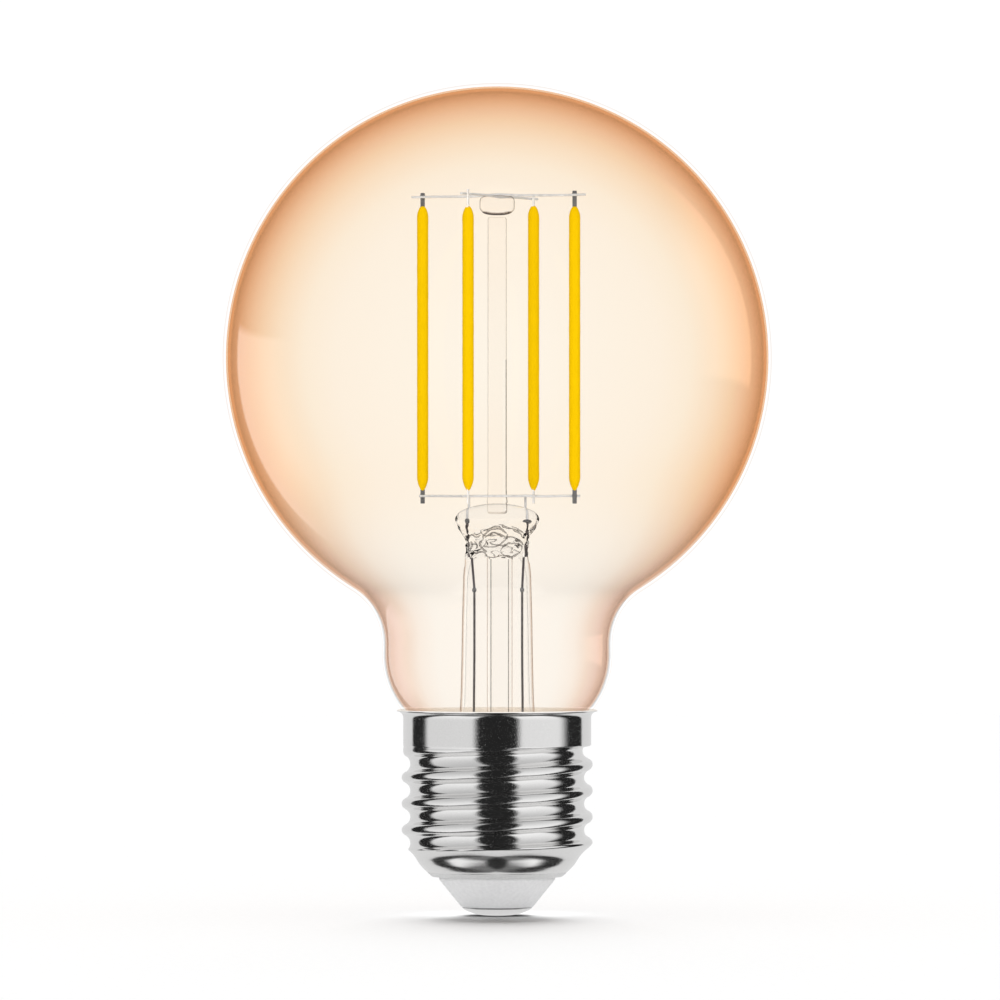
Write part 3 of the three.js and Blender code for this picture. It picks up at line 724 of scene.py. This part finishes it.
def make_stem():
    """Flare tube and press as one glass body, open at its bottom.

    Each outline point's height is a row number, which place turns into that row's oval section.
    """
    outside = [tuple(p) for p in stem_shape()]
    inside = [(z - 0.15, a - FLARE_WALL, b - FLARE_WALL) for z, a, b in outside if z < 47.0]
    dome = smooth([
        (47.0, 4.05, 3.9), (48.4, 3.75, 3.5), (49.5, 3.1, 2.8), (50.2, 2.1, 1.8), (50.5, 1.0, 0.9),
        (50.6, 0.0, 0.0),
    ], 6)
    rows = outside + [tuple(p) for p in dome][::-1] + inside[::-1]
    inner_from = len(outside)
    outline = [(1.0 if a > 0 else 0.0, float(i)) for i, (_, a, _) in enumerate(rows)]

    def place(_, row, angle):
        z, a, b = rows[int(row)]
        x, y = a * math.cos(angle), b * math.sin(angle)
        inner = row >= inner_from
        fold = smoothstep(z, 47.6, 50.0) * (1 - smoothstep(z, 53.0, 54.6))
        if a > 0 and fold > 0:
            swirl = noise.noise(Vector((x * 0.55, y * 0.7 + (9 if inner else 0), z * 1.1)))
            crease = noise.noise(Vector((x * 1.5, y * 1.2, z * 2.6 + (5 if inner else 0))))
            push = fold * (0.34 * swirl + 0.16 * crease)
            x *= 1 + push / max(a, 1.0)
            y *= 1 + 1.6 * push / max(b, 1.0)
            z += fold * 0.25 * swirl
        if not inner and a > 0 and y < 0:
            dent = ((x + 0.4) / 1.65) ** 2 + ((z - 51.8) / 1.15) ** 2
            y += 1.1 * math.exp(-(dent**2))
        return x, y, z

    piece = make_piece(
        "stem_and_press", *turned(outline, STEM_SIDES, place), stem_glass, "clear_glass",
        ["stem_flare"], 60
    )
    first_inner = (inner_from - 1) * STEM_SIDES + 1  # the outside ends in one vertex, its pole
    # Painted shade: below the press the tube's glass darkens towards its outlines.
    add_material(piece, tube_glass, lambda p: p.z < PRESS_Z)
    piece.data.materials.append(plain_glass)
    for face in piece.data.polygons:
        if min(face.vertices) >= first_inner:
            face.material_index = len(piece.data.materials) - 1


PRESS_FOLDS = (  # folds and cords in the pinched glass: points (x, y, z) along each
    ((-2.1, -1.5, 51.6), (-1.9, -1.6, 52.5), (-1.0, -1.7, 53.4), (0.4, -1.7, 53.55), (1.4, -1.6, 52.8)),
    ((1.5, -1.5, 52.7), (1.3, -1.6, 51.9), (0.3, -1.7, 51.0), (-1.0, -1.6, 50.6), (-1.9, -1.5, 51.0)),
    ((-1.8, -1.3, 52.2), (-0.7, -1.4, 52.9), (0.6, -1.4, 52.6), (1.4, -1.3, 52.3)),
    ((0.3, -1.1, 53.9), (1.6, -1.2, 53.4), (2.8, -1.2, 52.9), (3.5, -1.0, 52.1)),
    ((1.8, 0.2, 53.9), (2.6, 0.3, 53.3), (3.4, 0.2, 52.7)),
    ((1.5, -0.9, 52.4), (2.2, -1.0, 51.9), (3.1, -0.9, 51.6), (3.5, -0.8, 51.0)),
    ((0.4, -1.2, 49.9), (1.1, -1.3, 50.8), (2.0, -1.2, 51.4), (3.0, -1.0, 50.9), (3.1, -1.0, 50.3)),
    ((3.0, -1.1, 50.2), (2.1, -1.2, 49.6), (1.0, -1.3, 49.4), (0.5, -1.2, 49.8)),
    ((-3.9, -0.6, 51.9), (-3.4, -0.9, 52.5), (-2.9, -1.0, 52.2), (-2.3, -1.1, 52.5)),
    ((-3.4, -0.8, 51.7), (-3.2, -0.9, 51.0), (-3.5, -0.8, 50.4)),
    ((-2.9, -1.0, 51.7), (-2.6, -1.1, 51.0), (-2.8, -1.0, 50.5)),
    ((-2.3, -1.2, 51.6), (-2.2, -1.3, 50.9), (-1.7, -1.4, 50.4), (-1.2, -1.4, 49.9)),
    ((-3.4, -0.7, 50.1), (-2.6, -1.0, 49.9), (-1.8, -1.3, 50.0), (-1.1, -1.3, 49.6)),
    ((-3.0, 1.2, 52.6), (-1.5, 1.6, 53.2), (0.2, 1.7, 52.9), (1.9, 1.5, 52.0), (3.0, 1.2, 51.3)),
    ((-2.4, 1.3, 50.3), (-1.0, 1.6, 51.0), (0.8, 1.6, 50.6), (2.4, 1.3, 50.0)),
    ((4.2, -0.4, 53.0), (4.7, -0.2, 53.3), (5.0, 0, 53.9), (5.1, 0.2, 54.5)),
    ((4.1, 0.3, 52.3), (4.5, 0.2, 52.8), (4.4, 0, 53.4)),
)


def make_press_folds():
    """The folds where the soft glass was pinched: thin cords inside the press, their darkness painted
    shade.
    """
    verts, faces = [], []
    for number, points in enumerate(PRESS_FOLDS):
        thickness = 0.14 + 0.08 * noise.noise(Vector((number * 1.7, 3, 0)))
        more, more_faces = swept(smooth(points, 5), thickness, 10, taper=0.6)
        faces += [tuple(i + len(verts) for i in face) for face in more_faces]
        verts += more
    make_piece("press_folds", verts, faces, fold_glass, "clear_glass", sharp_degrees=80)


def make_exhaust_tube():
    """The thin tube inside the flare tube, open above and drawn to a sealed tip below."""
    centre = node_centre("exhaust_tube")
    low, high = node_box("exhaust_tube")
    radius, wall = (high.x - low.x) / 2, 0.48
    outline = [(radius - wall, high.z + 1.1), (radius - 0.1, high.z + 1.2), (radius, high.z + 1.0)]
    outline += [(radius, low.z + 2.2), (1.25, low.z + 0.9), (0.5, low.z + 0.15), (0, low.z)]
    outline += [(0, low.z + 1.3), (0.9, low.z + 2.3), (radius - wall, low.z + 3.4)]
    verts, faces = turned(outline, 64)
    verts = [(x + centre.x, y, z) for x, y, z in verts]
    piece = make_piece("pump_tube", verts, faces, tube_glass, "clear_glass", ["exhaust_tube"], 50)
    # Painted shade: the bore's faces take the glass that darkens strongly at its outlines.
    bore = radius - wall / 2
    add_material(piece, shaded_glass, lambda p: math.hypot(p.x - centre.x, p.y) < bore)


def make_rod_and_button():
    """The solid rod, its foot sunk into the press, and the button pressed over its top end."""
    low, high = node_box("stem_rod")
    radius = (high.x - low.x) / 2
    foot = low.z - ROD_SUNK
    fillet = smooth([
        (radius, foot + 0.1), (radius, foot + 1.4), (radius + 0.12, low.z), (radius + 0.05, foot + 2.5),
        (radius, foot + 3.4)], 4)
    outline = [(0, foot), (radius - 0.1, foot), *plain_points(fillet)]
    outline += [(radius, (low.z + high.z) / 2), (radius, high.z - 0.25), (radius - 0.12, high.z)]
    outline += [(0, high.z)]
    rod = make_piece("centre_rod", *turned(outline, 64), rod_glass, "clear_glass", ["stem_rod"], 60)
    # Painted shade: the rod's right side, below DARK_SIDE_TOP_Z, is given the darker-edged glass.
    dark_from = DARK_SIDE * radius
    add_material(rod, shaded_glass, lambda p: p.x > dark_from and p.z < DARK_SIDE_TOP_Z)

    low, high = node_box("rod_button")
    radius = (high.x - low.x) / 2
    dome = smooth([(0, low.z), (1.1, low.z + 0.06), (1.9, low.z + 0.3), (radius - 0.04, low.z + 0.85),
                   (radius, low.z + 1.3)], 5)
    crown = smooth([(radius, low.z + 1.9), (radius - 0.15, low.z + 2.4), (1.5, low.z + 2.7),
                    (0, low.z + 2.78)], 5)
    outline = closed_on_axis(dome + crown)
    button = make_piece(
        "button_of_rod", *turned(outline, 64), rod_glass, "clear_glass", ["rod_button"], 60
    )
    # Painted shade: the rounding under the button is given glass that darkens at its outlines.
    add_material(button, foot_glass, lambda p: p.z < low.z + BUTTON_FOOT)


make_stem()
make_press_folds()
make_exhaust_tube()
make_rod_and_button()


# ---- filaments


COAT_TOP = {1: 0.22, 2: -0.3, 3: 0.45, 4: -0.12}  # the coats end at slightly different heights
COAT_STOUT = 1.05  # the coat's round radius over that of its faceted node
COAT_ROWS = 40
TAPER_LENGTH = 3.0  # how far from each end the coat's taper is drawn


def make_filament(number):
    """A phosphor coat, pointed at its foot and blunt at its top, and its two tabs."""
    low, high = node_box(f"filament_{number}_coat")
    high.z += COAT_TOP[number]
    centre = (low + high) / 2
    radius = COAT_STOUT * (high.x - low.x) / 2
    outline = smooth([
        (0, low.z), (0.22, low.z + 0.08), (0.46, low.z + 0.5), (0.64, low.z + 1.0),
        (radius, low.z + 1.7), (radius, low.z + TAPER_LENGTH)], 4)
    straight = high.z - low.z - 2 * TAPER_LENGTH
    for i in range(COAT_ROWS):
        outline.append(Vector((radius, low.z + TAPER_LENGTH + straight * (i + 1) / COAT_ROWS)))
    outline += smooth([
        (radius, high.z - 2.4), (radius, high.z - 1.45), (0.68, high.z - 0.85), (0.46, high.z - 0.3),
        (0.24, high.z - 0.05), (0, high.z)], 4)

    def place(r, z, angle):
        uneven = noise.noise(Vector((math.cos(angle), math.sin(angle) + 7 * number, z * 0.6)))
        r *= 1 + 0.035 * uneven
        return centre.x + r * math.cos(angle), centre.y + r * math.sin(angle), z

    coat = make_piece(
        f"filament_{number}_phosphor", *turned(closed_on_axis(outline), 32, place), phosphor,
        "phosphor", [f"filament_{number}_coat"], 60
    )
    coat.visible_transmission = False
    for end in ("top", "bottom"):
        make_tab(number, end, centre)


TAB_WIDTH, TAB_THICKNESS, TAB_EASE = 0.6, 0.2, 0.05
TAB_STEPS = 22
OUTER_PAIR = (1, 4)
TAB_DEGREES = {1: -6.0, 2: 66.7, 3: 66.7, 4: -6.0}  # how far each tab is turned round its own axis


def make_tab(number, end, centre):
    """A flat lead of the filament, with softened edges and the flattened spot of its weld."""
    name = f"filament_{number}_{end}_tab"
    low, high = node_box(name)
    turn = math.radians(TAB_DEGREES[number])
    across = Vector((math.cos(turn), math.sin(turn), 0))
    through = Vector((-math.sin(turn), math.cos(turn), 0))
    half_w, half_t = TAB_WIDTH / 2, TAB_THICKNESS / 2
    in_w, in_t = half_w - TAB_EASE, half_t - TAB_EASE
    section = [
        (half_w, -in_t), (half_w, in_t), (in_w, half_t), (-in_w, half_t),
        (-half_w, in_t), (-half_w, -in_t), (-in_w, -half_t), (in_w, -half_t),
    ]
    weld_z = high.z - 0.5 if end == "top" else low.z + 1.1
    verts, rings = [], []
    for i in range(TAB_STEPS + 1):
        z = low.z + (high.z - low.z) * i / TAB_STEPS
        squeeze = 0.3 * math.exp(-(((z - weld_z) / 0.22) ** 2))
        end_ease = 0.86 if i in (0, TAB_STEPS) else 1.0
        rings.append(list(range(len(verts), len(verts) + len(section))))
        for w, t in section:
            w, t = w * (1 + 0.4 * squeeze) * end_ease, t * (1 - squeeze) * end_ease
            verts.append(Vector((centre.x, centre.y, z)) + across * w + through * t)
    bottom, top = set(rings[0]), set(rings[-1])
    faces = [face for face in bridge(rings) if not (bottom & set(face) and top & set(face))]
    faces += [tuple(rings[0][::-1]), tuple(rings[-1])]
    # The tabs are one metal: the outer pair's is painted dark as shade and the inner pair's pale as a
    # highlight.
    finish = dark_strip if number in OUTER_PAIR else lit_strip
    make_piece(name + "_strip", verts, faces, finish, "nickel_wire", [name], 35)


for filament_number in range(1, 5):
    make_filament(filament_number)


# ---- wires


BEND_STEPS = 14
BEND_WAVE = 0.05  # how far a hand-bent wire strays from straight
LIFT_WIDTH = 0.09  # half-width of the bend that lifts one wire over the other, as a share of its length
BEAD_STEPS = 14
FLAT_BEAD = (0.58, 0.35)  # radius and stretch of the upper right bead, squashed to a disc
LONG_BEAD = (KNOT_RADIUS, 1.15)
LOWER_BEAD = (KNOT_RADIUS, 1.3)


def wire_ends(name, falling=False):
    """The two ends of a straight level wire from its node's box, which it crosses corner to corner."""
    low, high = node_box(name)
    z = (low.z + high.z) / 2
    ease = WIRE_RADIUS * 0.6
    left = Vector((low.x + ease, (high.y - ease) if falling else (low.y + ease), z))
    right = Vector((high.x - ease, (low.y + ease) if falling else (high.y - ease), z))
    return left, right


def hand_bent(start, end, lift, seed):
    """Points from start to end of a wire bent by hand: slightly wavy, lifted by lift at its middle."""
    points = []
    for i in range(BEND_STEPS + 1):
        t = i / BEND_STEPS
        p = start.lerp(end, t)
        p.z += lift * math.exp(-(((t - 0.5) / LIFT_WIDTH) ** 2))
        p.z += BEND_WAVE * noise.noise(Vector((t * 5, seed, 0)))
        p.y += BEND_WAVE * noise.noise(Vector((t * 4, 0, seed)))
        points.append(p)
    return smooth(points, 4)


def make_wire(name, suffix, points, radius, material, slot):
    """A round wire in place of the CAD node of that name."""
    make_piece(f"{name}_{suffix}", *swept(points, radius), material, slot, [name])


def make_cross_wires():
    """The two top wires, bent past each other in the button, and the two bottom bars."""
    weld_z = (node_centre("top_wire_outer").z + node_centre("top_wire_inner").z) / 2
    clear = WIRE_RADIUS + 0.02
    for name, falling, lift in (("top_wire_outer", True, clear), ("top_wire_inner", False, -clear)):
        start, end = wire_ends(name, falling)
        start.z = end.z = weld_z
        points = hand_bent(start, end, lift, lift * 20)
        make_wire(name, "bent", points, WIRE_RADIUS, nickel_wire, "nickel_wire")
    for name, seed in (("bottom_bar_rear", 3.0), ("bottom_bar_front", 8.0)):
        points = hand_bent(*wire_ends(name), 0, seed)
        make_wire(name, "bent", points, WIRE_RADIUS, nickel_wire, "nickel_wire")


def make_knot(name, radius, stretch):
    """A weld bead, not quite round, stretch times as tall as it is wide."""
    centre = node_centre(name)
    angles = [math.pi * i / BEAD_STEPS for i in range(BEAD_STEPS + 1)]
    outline = [(radius * math.sin(a), -radius * stretch * math.cos(a)) for a in angles]

    def place(r, z, angle):
        lump = 1 + 0.12 * noise.noise(Vector((math.cos(angle), math.sin(angle), z * 2 + centre.x)))
        x, y, z = on_circle(r * lump, z, angle)
        return centre.x + x, centre.y + y, centre.z + z

    make_piece(
        name + "_bead", *turned(closed_on_axis(outline), 20, place), dark_strip, "nickel_wire",
        [name], 60
    )


def make_leads(label, side):
    """One lead-in wire in its three lengths, with a weld bead at each joint. side is -1 or 1."""
    inner_low, inner_high = node_box(f"inner_lead_{label}")
    upper = node_centre(f"upper_knot_{label}")
    lower = node_centre(f"lower_knot_{label}")
    bar_z = inner_high.z - WIRE_RADIUS
    reach = inner_high.y - 0.1 if side < 0 else inner_low.y + 0.1
    x = upper.x
    inner = smooth([
        (x, 0, upper.z + 0.2), (x, 0.0, upper.z + 1.6), (x, 0.03 * reach, bar_z - 0.7),
        (x, 0.1 * reach, bar_z - 0.15), (x, 0.22 * reach, bar_z), (x, 0.6 * reach, bar_z + 0.03),
        (x, reach, bar_z)], 6)
    make_wire(f"inner_lead_{label}", "wire", inner, WIRE_RADIUS, nickel_wire, "nickel_wire")
    end_gap = Vector((0, 0, 0.2))
    sealed = smooth([lower + end_gap, lower.lerp(upper, 0.5), upper - end_gap], 8)
    make_wire(f"dumet_lead_{label}", "wire", sealed, LEAD_RADIUS, dumet_wire, "dumet_wire")
    low, high = node_box(f"outer_lead_{label}")
    x = lower.x
    outer = smooth([
        (x, high.y - 0.1, low.z + 0.3), (x, 1.2, low.z + 0.8), (x, 0.3, low.z + 2.2), (x, 0, 22),
        (x + 0.06 * side, 0, 28), (x, 0, 36), (x, 0, lower.z - 0.2)], 8)
    make_wire(f"outer_lead_{label}", "wire", outer, LEAD_RADIUS, copper_wire, "copper_wire")
    make_knot(f"upper_knot_{label}", *(LONG_BEAD if side < 0 else FLAT_BEAD))
    make_knot(f"lower_knot_{label}", *LOWER_BEAD)


make_cross_wires()
make_leads("left", -1)
make_leads("right", 1)


# ---- carried-over nodes

CARRIED_OVER = {
    "cement_ring": cement,
    "driver_board": laminate,
    "wireless_board": laminate,
    "bridge_rectifier": black_epoxy,
    "driver_chip": black_epoxy,
    "power_inductor": ferrite,
    "smoothing_capacitor": sleeve,
    "fuse_resistor": lacquer,
    "fuse_lead": copper_wire,
    "live_wire": wire_sleeve,
    "neutral_wire": wire_sleeve,
    "wireless_aerial": wire_sleeve,
    "wireless_shield": nickel_sheet,
    **{f"filament_{i}_strip": ceramic for i in range(1, 5)},
}
for node_name, node_material in CARRIED_OVER.items():
    nodes[node_name].data.materials.clear()
    nodes[node_name].data.materials.append(node_material)


# ---- studio

# The white panels either side of the camera, as the metal mirrors them.
PANEL_LIGHT = 0.8
PANEL_TILT = 0.05  # how much brighter the right one is
PANEL_SLOPE = 0.26  # how much brighter they are at the foot, and darker at the top
BACK_LIGHT = 0.74  # the studio behind the object, as the metal mirrors it
STEEP_LIGHT = 0.4  # and overhead
ZENITH_SHADE = 0.9  # how dark it is straight above the object
UNDERFOOT_SHADE = 0.85  # and low down in front of it
WINDOW_LIGHT = 1.9  # the low window at the left that the globe mirrors
STRAIGHT_LIGHT = 1.04  # the white behind the object
FILL_LIGHT = 0.28  # the light from all round on matt surfaces
DARK_LIGHT = 0.02
NOSE = ("insulator_of_cap", "contact_of_cap")
FLOOR_SUNS = (  # light on the floor: strength, degrees it leans back, spread, what alone shades it
    (0.45, 70, 26, NOSE), (0.12, 77, 18, NOSE[1:]), (0.15, 60, 34, None), (0.07, 32, 20, None),
)
PIECE_SUNS = (  # light on the pieces alone: strength, degrees it leans back, spread
    (0.5, 0, 90), (0.7, -82, 60), (0.7, 82, 60),
)
FLOOR_RADIUS = 1.15  # metres
FLOOR_SIDES = 96
CLEAR_PIECES = ("stem_and_press", "pump_tube", "centre_rod", "button_of_rod")
ENVELOPE_PIECES = ("envelope_clear_glass", "envelope_amber_layer")
CAMERA_PLACE = (0.39, -1203, GLASS_HIGH.z / 2 - 0.1)
CAMERA_LENS = 313.8


def make_floor():
    """A pale matt disc that lies under the lamp and that metal and glass don't mirror."""
    angles = [2 * math.pi * i / FLOOR_SIDES for i in range(FLOOR_SIDES)]
    edge = [on_circle(FLOOR_RADIUS, 0, angle) for angle in angles]
    mesh = bpy.data.meshes.new("floor")
    mesh.from_pydata(edge, [], [range(FLOOR_SIDES)])
    material, tree, shader = new_material("floor_paper")
    pale = ((0.93, 0.93, 0.93), (0.95, 0.95, 0.95))
    colour = colour_ramp(tree, noise_texture(tree, 900), list(zip(GRAIN_SPREAD, pale)))
    tree.links.new(colour, shader.inputs["Base Color"])
    shader.inputs["Roughness"].default_value = 1.0
    shader.inputs["Specular IOR Level"].default_value = 0.0
    mesh.materials.append(material)
    floor = bpy.data.objects.new("floor", mesh)
    bpy.context.scene.collection.objects.link(floor)
    floor.visible_glossy = False


class WorldMaths:
    """Sums on the world's numbers and sockets, angles in degrees."""

    def __init__(self, tree):
        self.tree = tree

    def node(self, operation, *values):
        return shader_maths(self.tree, operation, *values)

    def product(self, first, *others):
        for other in others:
            first = self.node("MULTIPLY", first, other)
        return first

    def without(self, share):
        """One less a share."""
        return self.node("SUBTRACT", 1.0, share)

    def step(self, value, low, high):
        """0 below low degrees, 1 above high degrees, smooth between them."""
        return soft_step(self.tree, value, math.radians(low), math.radians(high))

    def choose(self, flag, when_set, otherwise):
        keep = self.product(otherwise, self.without(flag))
        return self.node("ADD", keep, self.product(when_set, flag))


def light_on_metal(m, x, y, z):
    """What metal mirrors: dark before it, white panels at its sides, two dark flags, and a grey back."""
    round_angle = m.node("ABSOLUTE", m.node("ARCTAN2", x, m.product(y, -1.0)))  # 0 is in front
    height = m.node("ARCSINE", z)
    front = m.without(m.step(round_angle, 22, 32))
    on_right = m.node("GREATER_THAN", x, 0.0)
    flag_start = m.choose(on_right, m.step(round_angle, 80, 100), m.step(round_angle, 93, 103))
    flags = m.node("SUBTRACT", flag_start, m.step(round_angle, 126, 129))
    behind = m.step(round_angle, 126, 130)
    panel = m.node("SUBTRACT", PANEL_LIGHT, m.product(z, PANEL_SLOPE))
    panel = m.node("ADD", panel, m.product(x, PANEL_TILT))
    steep = m.step(height, 38, 48)
    back = m.node("SUBTRACT", BACK_LIGHT, m.product(steep, BACK_LIGHT - STEEP_LIGHT))
    sides = m.node("ADD", panel, m.product(behind, m.node("SUBTRACT", back, panel)))
    strip = m.without(m.step(m.node("ARCSINE", m.node("ABSOLUTE", x)), 9, 14))
    overhead = m.product(steep, strip, behind)
    underfoot = m.product(m.step(m.product(height, -1.0), 54, 70), m.without(behind))
    zenith = m.product(m.step(height, 64, 76), ZENITH_SHADE)
    lit = m.product(m.without(front), m.without(flags), m.without(overhead))
    lit = m.product(lit, m.without(m.product(underfoot, UNDERFOOT_SHADE)), m.without(zenith))
    return m.node("ADD", m.product(lit, sides), DARK_LIGHT)


def light_on_glass(m, x, y, z):
    """What glass mirrors: one low window at the left, far round towards the back."""
    left_angle = m.node("ARCTAN2", m.product(x, -1.0), m.product(y, -1.0))  # 0 is in front
    height = m.node("ARCSINE", z)
    across = m.product(m.step(left_angle, 92, 116), m.without(m.step(left_angle, 139, 142)))
    level = m.product(m.step(height, -40, -20), m.without(m.step(height, 4, 6)))
    return m.product(across, m.product(level, WINDOW_LIGHT))


def make_world():
    """A studio that is white behind the object, and has its own light for metal, glass and matt."""
    world = bpy.data.worlds.new("studio")
    bpy.context.scene.world = world
    world.use_nodes = True
    world.cycles.sampling_method = "NONE"
    tree = world.node_tree
    m = WorldMaths(tree)
    place = tree.nodes.new("ShaderNodeTexCoord")
    split = tree.nodes.new("ShaderNodeSeparateXYZ")
    tree.links.new(place.outputs["Generated"], split.inputs[0])
    on_metal = light_on_metal(m, *split.outputs)
    on_glass = light_on_glass(m, *split.outputs)
    ray = tree.nodes.new("ShaderNodeLightPath")
    mirrored = m.node("GREATER_THAN", ray.outputs["Glossy Depth"], 0.5)
    in_mirror = m.choose(ray.outputs["Is Singular Ray"], on_glass, on_metal)
    after_matt = m.node("GREATER_THAN", ray.outputs["Diffuse Depth"], 0.5)
    on_matt = m.choose(ray.outputs["Is Diffuse Ray"], FILL_LIGHT, DARK_LIGHT)
    strength = m.choose(after_matt, on_matt, m.choose(mirrored, in_mirror, STRAIGHT_LIGHT))
    background = tree.nodes["Background"]
    background.inputs["Color"].default_value = (1, 1, 1, 1)
    tree.links.new(strength, background.inputs["Strength"])


def make_sun(name, back, strength, spread, receivers, blockers=None):
    """A very soft lamp, back degrees off the vertical, that lights the matt surfaces of the receivers.

    Only the blockers shade it, where they are given.
    """
    lean = math.radians(back)
    data = bpy.data.lights.new(name, "SUN")
    data.energy = strength * math.pi
    data.angle = math.radians(spread)
    lamp = bpy.data.objects.new(name, data)
    towards = Vector((0, math.sin(lean), math.cos(lean)))
    lamp.rotation_euler = towards.to_track_quat("Z", "Y").to_euler()
    lamp.visible_glossy = False
    lamp.visible_transmission = False
    bpy.context.scene.collection.objects.link(lamp)
    lamp.light_linking.receiver_collection = receivers
    if blockers:
        lamp.light_linking.blocker_collection = blockers


def group(name, members):
    """A collection of objects for a lamp to light or to be shaded by."""
    collection = bpy.data.collections.new(name)
    for member in members:
        collection.objects.link(member)
    return collection


def make_lamps():
    """Lamps behind the object for the floor, and lamps over, before and behind it for the object."""
    floor = bpy.data.objects["floor"]
    floor_alone = group("floor_alone", [floor])
    pieces = [piece for piece in bpy.data.objects if piece.type == "MESH" and piece != floor]
    pieces_alone = group("pieces_alone", pieces)
    for number, (strength, back, spread, shading) in enumerate(FLOOR_SUNS):
        name = f"floor_lamp_{number}"
        blockers = None
        if shading:
            blockers = group(name + "_blockers", [bpy.data.objects[piece] for piece in shading])
        on_level_floor = strength / math.cos(math.radians(back))
        make_sun(name, back, on_level_floor, spread, floor_alone, blockers)
    for number, (strength, back, spread) in enumerate(PIECE_SUNS):
        make_sun(f"piece_lamp_{number}", back, strength, spread, pieces_alone, pieces_alone)


def make_camera():
    """Level with the lamp's middle, far off, through a long lens."""
    data = bpy.data.cameras.new("camera")
    data.sensor_width = 36
    data.lens = CAMERA_LENS
    data.clip_end = 50
    camera = bpy.data.objects.new("camera", data)
    camera.location = Vector(CAMERA_PLACE) * MM
    camera.rotation_euler = (math.pi / 2, 0, 0)
    bpy.context.scene.collection.objects.link(camera)
    bpy.context.scene.camera = camera


for glass_name in ENVELOPE_PIECES + CLEAR_PIECES:
    bpy.data.objects[glass_name].visible_shadow = False
for glass_name in ENVELOPE_PIECES:
    bpy.data.objects[glass_name].visible_glossy = False
make_floor()
make_world()
make_lamps()
make_camera()

scene = bpy.context.scene
scene.view_settings.view_transform = "Standard"
scene.cycles.max_bounces = 48
scene.cycles.transmission_bounces = 48
scene.cycles.transparent_max_bounces = 64

bpy.context.view_layer.update()
